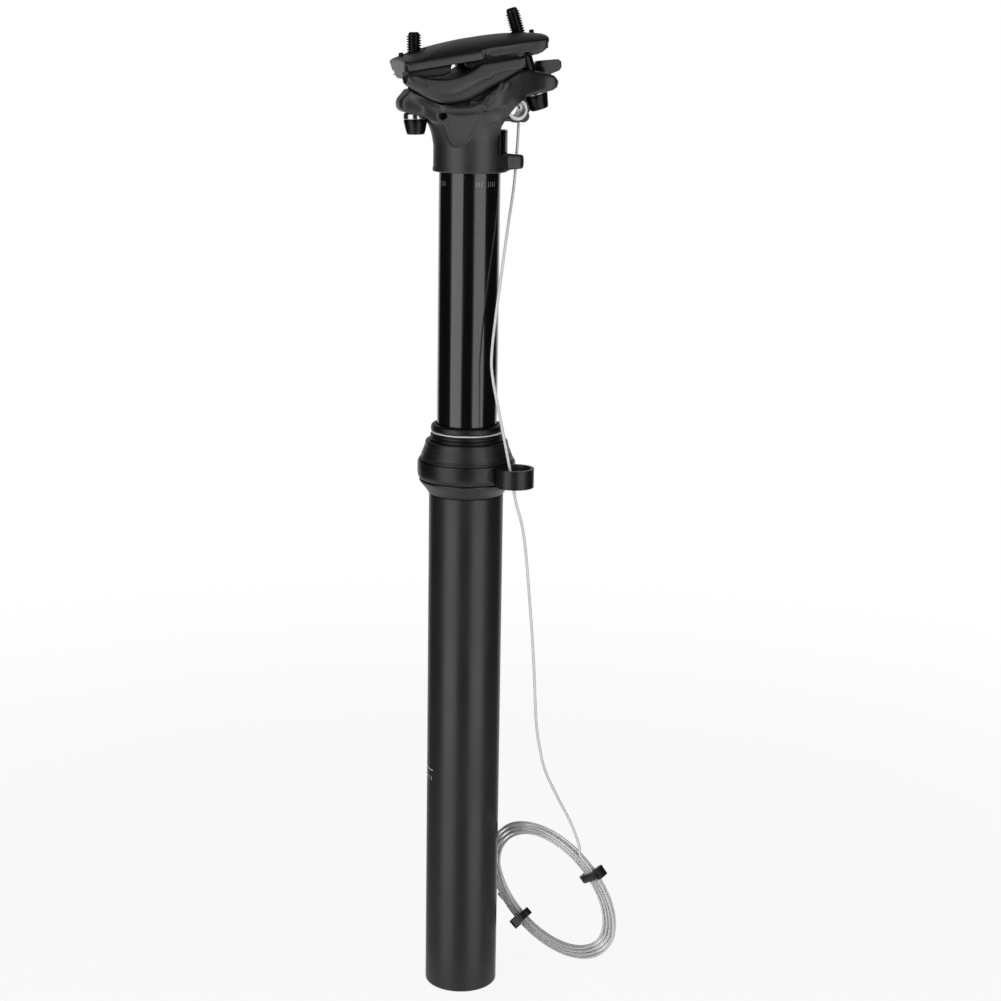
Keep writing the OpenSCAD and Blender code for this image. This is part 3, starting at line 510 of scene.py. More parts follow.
def makeStudio():
    studio = {
        "azimuth": 11, "pitch": 13, "roll": 0.89,  # degrees
        "eye": (-144.12, -818.54, 312.4),  # mm
        "focalPixels": 2000, "imagePixels": 1001, "sensor": 36,
        "floorSize": 14, "shadowShare": 0.09, "shadowReach": (0.25, 0.75),
        # What the glossy surfaces see: a wall behind the camera, less of it above, and the table below
        "fill": 0.16, "flag": 0.015, "behind": (-0.68, -0.86), "ceiling": (-0.06, 0.14),
        "ceilingLevel": 0.2, "below": (-0.3, -0.62), "belowLevel": 0.8,
        "lamps": [  # azimuth from the camera's side, height, width, tall, radiance
            ("keyLeft", -44.5, 0.24, 0.83, 1.7, 1.75),
            ("keyRight", 42, 0.24, 0.8, 1.7, 1.6),
            ("back", 180, 0.6, 1.6, 0.9, 0.2),
        ],
        "lampAway": 1.0, "lampAim": 0.16,
    }
    azimuth, pitch, roll = (math.radians(studio[k]) for k in ("azimuth", "pitch", "roll"))
    ahead = Vector((math.sin(azimuth) * math.cos(pitch), math.cos(azimuth) * math.cos(pitch),
                    -math.sin(pitch)))
    level = Vector((math.cos(azimuth), -math.sin(azimuth), 0))
    above = level.cross(ahead)
    right = level * math.cos(roll) + above * math.sin(roll)
    up = above * math.cos(roll) - level * math.sin(roll)
    bpy.ops.object.camera_add()
    camera = bpy.context.object
    camera.name = "photoCamera"
    camera.matrix_world = Matrix([(right[i], up[i], -ahead[i], studio["eye"][i] * mm)
                                  for i in range(3)] + [(0, 0, 0, 1)])
    camera.data.sensor_width = studio["sensor"]
    camera.data.lens = studio["sensor"] * studio["focalPixels"] / studio["imagePixels"]
    camera.data.clip_start = 0.01
    bpy.context.scene.camera = camera

    deselectAll()
    bpy.ops.mesh.primitive_plane_add(size=studio["floorSize"], location=(0, 0, cadLow.z))
    floor = bpy.context.object
    floor.name = "paleFloor"
    floor.visible_glossy = False
    material, tree, place = newMaterial("palePaperFloor", "#f4f4f4", Roughness=0.9)
    emboss(tree, noise(tree, place, perMetre(3)), 0.02, 1)
    # The camera sees paper white, a little darker where the object's shadow falls near its foot
    away = addNode(tree, "VectorMath", {0: place}, operation="LENGTH").outputs["Value"]
    reach = ramp(tree, away, studio["shadowReach"], (studio["shadowShare"], 0.0), "SMOOTHSTEP")
    paper = tree.nodes["Principled BSDF"].outputs[0]
    bright = addNode(tree, "Emission", {"Color": (1, 1, 1, 1), "Strength": 1.0})
    shaded = addNode(tree, "MixShader", {0: reach, 1: bright.outputs[0], 2: paper})
    path = addNode(tree, "LightPath")
    shown = addNode(tree, "MixShader", {0: path.outputs["Is Camera Ray"], 1: paper,
                                        2: shaded.outputs[0]})
    tree.links.new(shown.outputs[0], tree.nodes["Material Output"].inputs["Surface"])
    floor.data.materials.append(material)

    for name, turn, height, wide, tall, radiance in studio["lamps"]:
        angle = math.radians(studio["azimuth"] - turn)
        away = Vector((-math.sin(angle), -math.cos(angle), 0)) * studio["lampAway"]
        bpy.ops.object.light_add(type="AREA", location=(away.x, away.y, height))
        lamp = bpy.context.object
        lamp.name = name
        lamp.data.shape = "RECTANGLE"
        lamp.data.size, lamp.data.size_y = wide, tall
        lamp.data.energy = radiance * math.pi * wide * tall
        aim = Vector((0, 0, studio["lampAim"])) - lamp.location
        lamp.rotation_euler = aim.to_track_quat("-Z", "Y").to_euler()
        lamp.visible_camera = False

    world = bpy.data.worlds.new("whiteStudio")
    bpy.context.scene.world = world
    world.use_nodes = True
    tree = world.node_tree
    path = addNode(tree, "LightPath").outputs
    looking = addNode(tree, "TexCoord").outputs["Generated"]
    front = addNode(tree, "VectorMath", {0: looking, 1: (-math.sin(azimuth), -math.cos(azimuth), 0)},
                    operation="DOT_PRODUCT").outputs["Value"]
    height = addNode(tree, "SeparateXYZ", {"Vector": looking}).outputs["Z"]
    wall = ramp(tree, front, studio["behind"], (studio["flag"], 1.0), "SMOOTHSTEP")
    ceiling = ramp(tree, height, studio["ceiling"], (1.0, studio["ceilingLevel"]), "SMOOTHSTEP")
    table = ramp(tree, height, studio["below"], (0.0, studio["belowLevel"]), "SMOOTHSTEP")
    around = calc(tree, "MAXIMUM", calc(tree, "MULTIPLY", wall, ceiling), table)
    reflected = calc(tree, "MAXIMUM", path["Is Glossy Ray"], path["Is Transmission Ray"])
    soft = addNode(tree, "Mix", {0: reflected, 2: studio["fill"], 3: around}, data_type="FLOAT")
    strength = addNode(tree, "Mix", {0: path["Is Camera Ray"], 2: soft.outputs[0], 3: 1.0},
                       data_type="FLOAT")
    backdrop = tree.nodes["Background"]
    tree.links.new(strength.outputs[0], backdrop.inputs["Strength"])
    backdrop.inputs["Color"].default_value = (1, 1, 1, 1)
    bpy.context.scene.view_settings.view_transform = "Standard"


makeStudio()
print("studio ready")


# Release wire: hangs from the lever's anchor, passes the clip's loop and ends in a tied coil

wireFacts = {"diameter": 1.2, "steps": 6, "coilTurns": 4, "coilRadius": 35.8, "coilPitch": 1.7,
             "coilCentre": (38.6, -7.5, -58), "faceTurn": 37.5, "faceRise": 17, "startAngle": 42,
             "endAngle": -139, "perTurn": 72}
upperRoute = [(20.2, 0, 279.8), (19.8, 0, 271), (19, 0, 258), (17.8, -2, 250), (15.2, -6.5, 238),
              (12, -11.5, 221), (8.5, -15.5, 198.5), (7, -17, 184.5), (7.5, -18.5, 175),
              (10.5, -21.5, 158), (13, -24, 144), (14, -24, 139), (15, -24, 134)]
lowerRoute = [(15, -24, 134), (16, -24, 129), (17, -24, 124), (21, -22.5, 108.5), (24.5, -21.5, 76),
              (26.5, -21, 52.5), (28, -21, 27), (30, -21, 14), (32.5, -21.5, 4), (38, -23.5, -8),
              (43, -26, -18), (46.2, -29, -27)]


def smoothRoute(points, steps):
    points = [Vector(p) for p in points]
    line = []
    for i in range(len(points) - 1):
        a, b, c, d = (points[max(0, min(j, len(points) - 1))] for j in range(i - 1, i + 3))
        for k in range(steps):
            t = k / steps
            line.append(0.5 * (2 * b + (c - a) * t + (2 * a - 5 * b + 4 * c - d) * t * t
                               + (3 * b - a - 3 * c + d) * t ** 3))
    return line + [points[-1]]


turnAngle, riseAngle = math.radians(wireFacts["faceTurn"]), math.radians(wireFacts["faceRise"])
coilAxis = Vector((math.cos(riseAngle) * math.cos(turnAngle), math.cos(riseAngle) * math.sin(turnAngle),
                   math.sin(riseAngle)))
coilRight = Vector((math.sin(turnAngle), -math.cos(turnAngle), 0))
coilUp = coilAxis.cross(coilRight)
coilUp = coilUp if coilUp.z > 0 else -coilUp
coilTotal = 2 * wireFacts["coilTurns"] - 1 + (wireFacts["startAngle"] - wireFacts["endAngle"]) / 360
coilFlip = wireFacts["coilTurns"] - 0.25  # turns wound inwards before the second layer starts outwards


def coilPoint(turn):
    inward = turn if turn < coilFlip else 2 * coilFlip - turn
    climb = max(0.0, min(1.0, (turn - coilFlip + 0.25) / 0.5))
    climb = climb * climb * (3 - 2 * climb)
    angle = math.radians(wireFacts["startAngle"] - 360 * turn)
    out = wireFacts["coilRadius"] - wireFacts["coilPitch"] * inward
    return (Vector(wireFacts["coilCentre"]) + out * (math.cos(angle) * coilRight + math.sin(angle) * coilUp)
            + wireFacts["coilPitch"] * climb * coilAxis)


# Tube along a line, with each ring's distance along the wire and share of a turn kept for the strands
def wireTube(name, line, sides=10):
    radius = wireFacts["diameter"] / 2
    verts, faces, runs = [], [], []
    side, run = Vector((0, 1, 0)), 0.0
    for i, point in enumerate(line):
        heading = (line[min(i + 1, len(line) - 1)] - line[max(i - 1, 0)]).normalized()
        side = (side - heading * side.dot(heading)).normalized()
        other = heading.cross(side)
        run += (point - line[i - 1]).length if i else 0
        for k in range(sides):
            angle = 2 * math.pi * k / sides
            verts.append((point + radius * (side * math.cos(angle) + other * math.sin(angle))) * mm)
            runs.append((run * mm, k / sides))
    for i in range(len(line) - 1):
        for k in range(sides):
            a, b = i * sides + k, i * sides + (k + 1) % sides
            faces.append((a, b, b + sides, a + sides))
    faces += [tuple(range(sides))[::-1], tuple(len(verts) - sides + k for k in range(sides))]
    mesh = bpy.data.meshes.new(name)
    mesh.from_pydata([tuple(v) for v in verts], [], faces)
    piece = bpy.data.objects.new(name, mesh)
    bpy.context.scene.collection.objects.link(piece)
    layer = mesh.uv_layers.new(name="wireRun")
    for face in mesh.polygons:
        shares = [runs[v][1] for v in face.vertices]
        for loop, vert, share in zip(face.loop_indices, face.vertices, shares):
            wrapped = share + 1 if share == 0 and max(shares) > 0.5 and len(shares) == 4 else share
            layer.data[loop].uv = (runs[vert][0], wrapped)
    mesh.update()
    closeMesh(piece)
    smoothShade(piece, 50)
    return piece


def lengthOf(line):
    return sum((b - a).length for a, b in zip(line, line[1:])) * mm


def makeWires():
    thick = wireFacts["diameter"]
    upper = smoothRoute(upperRoute, wireFacts["steps"])
    heading = (coilPoint(0.002) - coilPoint(-0.002)).normalized()
    first = coilPoint(0) - heading * thick
    lower = smoothRoute(lowerRoute + [first - heading * 3 * thick, first], wireFacts["steps"])
    count = round(coilTotal * wireFacts["perTurn"])
    turns = [coilPoint(i * coilTotal / count) for i in range(count + 1)]
    lastHeading = (turns[-1] - turns[-2]).normalized()
    last = turns[-1] + lastHeading * thick
    rest = lower + turns + [last]

    slack = wireTube("wireUpper", upper)
    slack.data.materials.append(finish["wire"])
    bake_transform(slack)
    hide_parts("cable_upper")
    coiled = wireTube("wireCoiled", rest, sides=8)
    finishPiece(coiled, "wire", "lower_post", "wire_steel", "cable_lower", "cable_coil")

    r = thick / 2 + 0.4
    tip = turned("wireTip", [  # crimped cap with two rolled grooves
        (r - 0.2, 0), (r, 0.2), (r, 2.2), (r - 0.25, 2.7), (r - 0.25, 3.3), (r, 3.8), (r, 6),
        (r - 0.25, 6.5), (r - 0.25, 7.1), (r, 7.6), (r, 10.4), (r - 0.3, 10.9), (0.2, 11)], sides=24)
    place(tip, Matrix.Translation(last * mm) @ lastHeading.to_track_quat("Z", "Y").to_matrix().to_4x4())
    finishPiece(tip, "alloy", "lower_post", "bright_alloy", "cable_tip")
    print("wire:", round(lengthOf(upper) + lengthOf(rest), 3), "m")


makeWires()


# Lower post: tube, collar, wiper and guide clip

def makeOuterTube():
    tube = {"radius": 15.8, "bore": 14, "foot": -100, "shoulder": 124, "top": 140, "thread": 15.1}
    r, bore, foot, shoulder, top, thread = tube.values()
    rounding = [(r - 1 + math.sin(math.radians(a)), foot + 1 - math.cos(math.radians(a)))
                for a in range(0, 91, 15)]
    profile = ([(bore, foot + 0.4), (bore + 0.4, foot)] + rounding
               + [(r, foot + 20), (r, 0), (r, shoulder - 0.2), (r - 0.2, shoulder), (thread, shoulder),
                  (thread, top - 0.4), (thread - 0.4, top), (bore + 0.2, top), (bore, top - 0.2),
                  (bore, foot + 0.4)])
    piece = turned("outerTube", profile, sides=160)
    finishPiece(piece, "tube", "lower_post", "anodised_tube", "outer_tube")


def makeCollar():
    collar = {"foot": 124.3, "seat": 130.3, "cone": 138.6, "top": 147, "bore": 15.15, "sealBore": 15.4,
              "groove": 0.25}
    foot, seat, cone, top, bore, sealBore, deep = collar.values()
    profile = [(bore, foot + 0.3), (bore + 0.5, foot), (15.95, foot), (16.15, foot + 0.2),
               (17.0, foot + 1.5), (18.4, foot + 3.2), (19.5, foot + 4.5), (19.85, foot + 5.0),
               (20.05, seat - 0.5), (19.95, seat - 0.1), (19.6, seat), (19.25, seat), (19.25, cone),
               (19.55, cone), (19.85, cone + 0.15), (19.9, cone + 0.6), (19.75, cone + 0.9),
               (19.75 - deep, cone + 1.05), (19.6 - deep, cone + 1.4), (19.45, cone + 1.6),
               (18.75, cone + 3.4), (18.0, cone + 5.4), (17.75, top - 2.2), (17.62, top - 1.5),
               (17.5, top - 0.75), (17.2, top - 0.2), (16.8, top), (sealBore + 0.3, top),
               (sealBore, top - 0.3), (sealBore, top - 5), (bore, top - 5.2), (bore, foot + 0.3)]
    piece = turned("collarNut", profile, sides=160, shade=24)
    finishPiece(piece, "turned", "lower_post", "turned_collar", "collar_nut")


def makeWiper():
    wiper = {"bore": 12.74, "seat": 15.35, "foot": 142.1, "top": 154, "ring": 150.4, "ringTop": 151}
    bore, seat, foot, top, ring, high = wiper.values()
    profile = [(bore, foot), (seat, foot), (seat, 147.2), (15.65, 147.35), (15.75, 147.7), (15.7, 148.05),
               (15.35, 148.3), (14.95, 148.45), (14.95, 148.6), (15.2, 148.75), (15.45, 149.05),
               (15.42, 149.4), (15.15, 149.7), (14.9, 149.9), (14.85, ring - 0.05), (14.2, ring),
               (14.2, high), (14.85, high + 0.05), (15.15, high + 0.3), (15.25, high + 0.75),
               (15.2, 152.7), (14.95, 153.4), (14.4, 153.9), (13.8, top), (13.3, top - 0.1),
               (12.95, top - 0.6), (bore, top - 1.4), (bore, foot)]
    piece = turned("wiperSeal", profile, sides=160, shade=40)
    finishPiece(piece, "rubber", "lower_post", "seal_rubber", "wiper_seal")
    band = turned("wiperBand", [(14.25, ring + 0.03), (14.95, ring + 0.03), (15.08, ring + 0.15),
                                (15.08, high - 0.15), (14.95, high - 0.03), (14.25, high - 0.03),
                                (14.25, ring + 0.03)], sides=160, shade=40)
    finishPiece(band, "ptfe", "lower_post", "white_plastic", "wiper_ring")


def makeGuideClip():
    clip = {"foot": 130.4, "head": 138.4, "radius": 20.8, "seat": 19.3, "loopRadius": 8, "wall": 1.5,
            "loopOut": 26.4, "loopAngle": -50, "loopShy": 0.03, "padAngles": (-70, -32), "padSteps": 8,
            "padIn": 19.9, "padHigh": 0.45, "slit": 8}
    foot, head, r, seat = (clip[k] for k in ("foot", "head", "radius", "seat"))
    turn = math.radians(clip["loopAngle"])
    loopPlace = Matrix.Translation(Vector((math.cos(turn), math.sin(turn), 0)) * clip["loopOut"] * mm)
    band = turned("guideClip", [(0.2, foot), (r - 1.15, foot), (r - 0.45, foot + 0.9), (r - 0.1, foot + 2),
                                (r, foot + 3), (r, head - 0.8), (r - 0.35, head), (0.2, head)], sides=160)
    rings = []
    start, end = clip["padAngles"]
    for i in range(clip["padSteps"] + 1):  # a slightly prouder stretch beside the loop
        angle = math.radians(start + (end - start) * i / clip["padSteps"])
        rings.append([(out * math.cos(angle), out * math.sin(angle), z) for out, z in (
            (clip["padIn"], foot + 1.6), (r + clip["padHigh"], foot + 2.1),
            (r + clip["padHigh"], head - 1.1), (clip["padIn"], head - 0.6))])
    pad = lofted("clipPad", rings)
    loop = rod("clipLoop", clip["loopRadius"], foot + clip["loopShy"], head - clip["loopShy"], 96)
    place(loop, loopPlace)
    cut(band, pad, "UNION")
    cut(band, loop, "UNION")
    hole = rod("clipHole", clip["loopRadius"] - clip["wall"], foot - 2, head + 2, 96)
    place(hole, loopPlace)
    cut(hole, rod("clipCore", r - 0.2, foot - 3, head + 3, 160))
    cut(band, hole)
    cut(band, rod("clipSeat", seat, foot - 1, head + 1, 160))
    gap = slab("clipGap", seat - 2, r + 2, foot - 1, head + 1, -clip["slit"] / 2, clip["slit"] / 2)
    place(gap, Matrix.Rotation(turn + math.pi, 4, "Z"))
    cut(band, gap)
    closeMesh(band)
    softenEdges(band, 0.45, angle=38, segments=3)
    smoothShade(band, 34)
    finishPiece(band, "clip", "lower_post", "clip_plastic", "guide_clip")


def makeStanchion():
    slider = {"radius": 12.7, "bore": 11.5, "groove": 12.2, "grooveTop": 48.7, "top": 273.8}
    r, bore, groove, grooveTop, top = slider.values()
    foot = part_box("stanchion")[0][2] * 1000
    profile = [(bore, foot + 0.3), (groove, foot), (groove, grooveTop), (r - 0.1, grooveTop),
               (r, grooveTop + 0.1), (r, 100), (r, 160), (r, 210), (r, top - 0.3), (r - 0.3, top),
               (bore + 0.2, top), (bore, top - 0.2), (bore, foot + 0.3)]
    piece = turned("stanchionSlider", profile, sides=192)
    finishPiece(piece, "slider", "upper_post", "anodised_gloss", "stanchion")


makeOuterTube()
makeCollar()
makeWiper()
makeGuideClip()
makeStanchion()
print("post: tube, collar, wiper, clip and slider")


# Head, cradle and saddle clamp: forged pieces, cast smooth from closed forms. Where the rails lie, u is
# the place along them and w the height over the tilt axis; z is the height above the neck's foot.

tiltAxis = (-4, 0, 317)
clampPlace = at(*tiltAxis, -9.8)
frontBoltPlace = at(-22.6, 0, 276, -1.4)
rearBoltPlace = at(28.3, 0, 286.4, -17.6)
neckFoot = 259


def makeCradle():
    cradle = {"voxel": 0.42, "passes": 5, "half": 26, "inner": 16.5, "footIn": 21.1, "shadowIn": 17.4,
              "taper": [(4.5, 20.2), (19.6, 12.6)], "taperTop": -19.2, "frontCut": (-21.8, -15.4),
              "railRadius": 3.55, "railPlace": (22, -14.2)}
    stations = [  # along the rails, heights of the wing's top edge, of its lower edge and of its foot
        (-29.7, -15.0, -16.9, -17.4), (-28.9, -14.5, -17.9, -18.6), (-27.4, -14.5, -18.9, -19.7),
        (-24.9, -14.9, -20.3, -21.7), (-22, -15.9, -21.9, -24.1), (-19.2, -17.0, -23.2, -25.9),
        (-16.3, -17.9, -24.4, -27.4), (-13, -18.4, -25.0, -28.2), (-10.2, -18.5, -25.0, -28.4),
        (-7.5, -18.2, -24.4, -28.3), (-4.8, -17.6, -23.5, -27.9), (-2, -16.8, -22.7, -27.1),
        (0.7, -15.9, -21.8, -26.3), (3.4, -15.4, -21.0, -25.1), (6.1, -15.2, -20.2, -24.3),
        (8.8, -15.2, -19.6, -23.2), (11.5, -15.2, -19.1, -22.0), (14, -15.2, -18.7, -20.9),
        (16, -15.3, -18.4, -20.0), (18.2, -15.6, -17.8, -19.2), (19, -16.1, -17.5, -18.8)]
    inner, base = cradle["inner"], cradle["footIn"]
    rings = []
    for u, top, edge, foot in stations:
        nose = 0.0 if -28 < u < 17 else (0.8 if -29 < u < 18.5 else 2.2)
        half = cradle["half"] - nose
        section = [(inner, top - 0.2), (half - 2.4, top), (half - 0.9, top - 0.3), (half - 0.1, top - 1.3),
                   (half, top * 0.5 + edge * 0.5), (half - 0.35, edge + 1.1), (half - 0.9, edge + 0.35),
                   (half - 1.7, edge - 0.15), (base + 1.6, foot * 0.66 + edge * 0.34),
                   (base + 0.35, foot + 0.35), (base, foot), (inner, foot)]
        rings.append([(u, y, w) for y, w in section])
    wing = lofted("cradleWing", rings)
    other = mirrored(wing)
    placeAll((wing, other), clampPlace)
    piece = copyOf("lower_cradle", "saddleCradle")
    under = [(u, foot + 0.15) for u, top, edge, foot in stations if -26 < u < 17]
    under += [(18, -24), (14, -32), (0, -35), (-16, -34), (-26, -28)]
    (u0, y0), (u1, y1) = cradle["taper"]
    slope = (y1 - y0) / (u1 - u0)
    for side in (-1, 1):
        # The foot stands back behind the head's rim, and narrows to the rear with it
        groove = sideForm("shadowGroove", under, cradle["shadowIn"] * side, 34 * side)
        rear = [(u0, y0 * side), (26, (y0 + slope * (26 - u0)) * side), (26, 40 * side), (u0, 40 * side)]
        taper = planForm("rearTaper", rear, -40, cradle["taperTop"])
        for form in (groove, taper):
            place(form, clampPlace)
            cut(piece, form)
    u, w = cradle["frontCut"]
    front = slab("frontCut", -40, u, -50, w, -30, 30)
    # Daylight shows in the photo under the far wing's front corner
    corner = sawn("farCorner", [(-40, -50), (u, -50), (u, -22), (-25.5, -16.6), (-40, -15.9)], 10, 30)
    placeAll((front, corner), clampPlace)
    cut(piece, front)
    cut(wing, corner)
    piece = joinPieces("saddleCradle", [piece, wing, other])
    castSmooth(piece, cradle["voxel"], cradle["passes"])
    y, w = cradle["railPlace"]
    grooves = []
    for side in (-1, 1):
        groove = rod("railGroove", cradle["railRadius"], -60, 60, 48)
        place(groove, clampPlace @ at(0, side * y, w, 90))
        grooves.append(groove)
    cutAll(piece, grooves)
    closeMesh(piece)
    smoothShade(piece, 40)
    finishPiece(piece, "forged", "saddle_clamp", "forged_alloy", "lower_cradle")


def makeHead():
    head = {"voxel": 0.42, "passes": 6, "finePasses": 4, "seat": 32.6, "inner": 20.45, "rearInner": 13,
            "socket": 12.75, "socketHigh": 15, "pinHole": 1.44, "pinPlace": (-14, 23)}
    rim = [  # the bowl's wall seen from the side, along the bicycle and up
        (-26, 33.4), (-20.5, 30.2), (-15.4, 28.3), (-9.2, 27.2), (-3.1, 27.9), (0.5, 29.7), (3.5, 32),
        (6, 34), (8.6, 36), (12.1, 38.7), (16.8, 40.9), (20.5, 41.6), (24, 41.2), (27.6, 40.6),
        (30.5, 39.4), (31, 34), (25, 32), (20, 30.6), (16, 29), (8, 26.4), (1.1, 24.6), (-3, 23.9),
        (-9.2, 23.5), (-15.4, 24.6), (-19.5, 26.4), (-24.6, 29.5), (-27.5, 31.5)]
    plan = [(-28, 9), (-24.5, 10.4), (-21, 13.6), (-18, 17.6), (-15, 20.8), (-12, 22), (3, 22.2),
            (8.3, 22.1), (12, 20.4), (17, 17.6), (22.3, 14.2), (26, 11.2), (29, 9.2), (33, 8.5)]
    wall = sawn("headRim", [(x, z + neckFoot) for x, z in rim], -30, 30)
    lip = rim[:6] + [(2.5, 31.0)]
    cut(wall, planForm("headPlan", bothSides(plan), 270, 310), "INTERSECT")
    for side in (-1, 1):  # the lip's upper face leans outwards, and the wall draws in below it
        lean = lofted("lipLean", [
            [(x, y * side, z + high + neckFoot) for y, high in ((20.7, 0.4), (22.5, -2.1), (27, -2.1),
                                                                (27, 4), (20.7, 4))] for x, z in lip])
        under = lofted("lipUnder", [
            [(x, y * side, z + neckFoot) for y, z in ((22.8, 26.2 + rise), (21.2, 24.7 + rise),
                                                      (19.4, 22.9), (19.4, 20), (27, 20),
                                                      (27, 26.2 + rise))]
            for x, rise in ((-17, 1.2), (-9, 0), (-3, 0.3), (2, 2.4))])
        cut(wall, lean)
        cut(wall, under)
    base = copyOf("head", "seatHead")
    section = [(18.7, 24.6), (17.5, 20.8), (16.4, 17.4), (15.6, 14), (15.2, 11), (15.1, 8), (30, 8),
               (30, 24.6)]
    cutAll(base, [lofted("underSlope", [[(x, y * side, z + neckFoot) for y, z in section]
                                        for x in (-30, 30)])  # the underside slopes in to the neck
                  for side in (-1, 1)])
    flank = lofted("rearFlank", [  # neck flaring up and back into the rear arm
        [(x, y, z + neckFoot) for x, y in bothSides([(-4, wide), (4, wide), (back * 0.72, wide * 0.93),
                                                     (back, wide * 0.74)])]
        for z, wide, back in ((12, 10, 8), (15, 12.5, 9.5), (17.5, 14.6, 11.5), (20.8, 16.6, 13.6),
                              (24.4, 19.0, 16.5), (27, 20.3, 19), (29.5, 21.3, 22))])
    front = lofted("frontFlare", [  # and forwards into the front ear
        [(-far * math.cos(math.radians(a)), 15 * math.sin(math.radians(a)), z + neckFoot)
         for a in range(-90, 91, 10)]
        for z, far in ((8, 14.9), (11, 15.2), (14.5, 15.8), (18, 16.9), (21.5, 18.8))])
    piece = joinPieces("seatHead", [base, wall, flank, front])
    castSmooth(piece, head["voxel"], head["passes"])
    regions = [  # passes over each part of the skin, its bounds in metres with the side's sign left out
        (30, lambda x, y, z: 0.266 < z < 0.2842 and y > 0.0105 and -0.02 < x < 0.0165
         and math.hypot(x, y) > 0.0142),
        (40, lambda x, y, z: z < 0.2685 and x > 0.0152),
        (40, lambda x, y, z: x < -0.0215 and z < 0.2935 and y > 0.003),
        (40, lambda x, y, z: x > 0.006 and z > 0.281 and y > 0.006),
        (25, lambda x, y, z: -0.0285 < x < -0.0115 and 0.28 < z < 0.2895 and y > 0.0065)]
    for passes, test in regions:
        smoothRegion(piece, passes, test)
    panel = lofted("headPanel", [
        [(x, y, z + neckFoot) for x, y in ((left, face + 0.5), (left + 1, face), (right - 1, face),
                                           (right, face + 0.5), (right, -9), (left, -9))]
        for z, left, right, face in ((10.4, -8.3, -6.2, -13.2), (11.4, -9.4, -5.0, -14.3),
                                     (13.4, -10.9, -3.5, -15.5), (17, -12.3, -1.9, -16.7),
                                     (20.5, -13.6, -0.2, -17.9), (24.4, -14.8, 2.0, -19.2))])
    folds = []
    for start, end, y in (((5.6, 30.9), (9.2, 36.6), -21.7), ((8.2, 31.0), (13.0, 38.2), -20.5)):
        fold = turned("fold", [(0.15, 0), (0.7, 0.5), (1.1, 2), (1.1, 5.5), (0.6, 7), (0.1, 7.6)], sides=16)
        along = Vector((end[0] - start[0], 0.8, end[1] - start[1]))
        place(fold, at(start[0], y, start[1] + neckFoot) @ along.to_track_quat("Z", "Y").to_matrix().to_4x4())
        folds.append(fold)
    extras = [panel, mirrored(panel)] + folds + [mirrored(fold) for fold in folds]
    piece = joinPieces("seatHead", [piece] + extras)
    castSmooth(piece, head["voxel"], head["finePasses"])
    # Room for the cradle, narrower behind, where the cradle narrows too
    room = rod("cradleRoom", head["seat"], -60, 60, 192)
    place(room, at(*tiltAxis, 90, "X"))
    inner, rearInner = head["inner"], head["rearInner"]
    roomPlan = [(-40, inner), (8.3, inner), (22.3, rearInner), (40, rearInner)]
    cut(room, planForm("roomPlan", bothSides(roomPlan), 270, 360), "INTERSECT")
    socket = rod("socket", head["socket"], 250, neckFoot + head["socketHigh"], 128)
    hole = rod("pinHole", head["pinHole"], -40, 40, 32)
    x, z = head["pinPlace"]
    place(hole, at(x, 0, z + neckFoot, 90, "X"))
    rear = [(10.3, 17.4), (10.4, 18.4), (11.1, 20.8), (13.6, 24.4), (15.5, 26.9), (17.8, 29.0),
            (20.5, 30.7), (24, 31.5), (27, 31), (27, 17.4)]
    back = sawn("rearOpening", [(x, z + neckFoot) for x, z in rear], -30, 30)
    cutAll(piece, [room, socket, hole, back])
    closeMesh(piece)
    smoothShade(piece, 40)
    finishPiece(piece, "forged", "upper_post", "forged_alloy", "head")


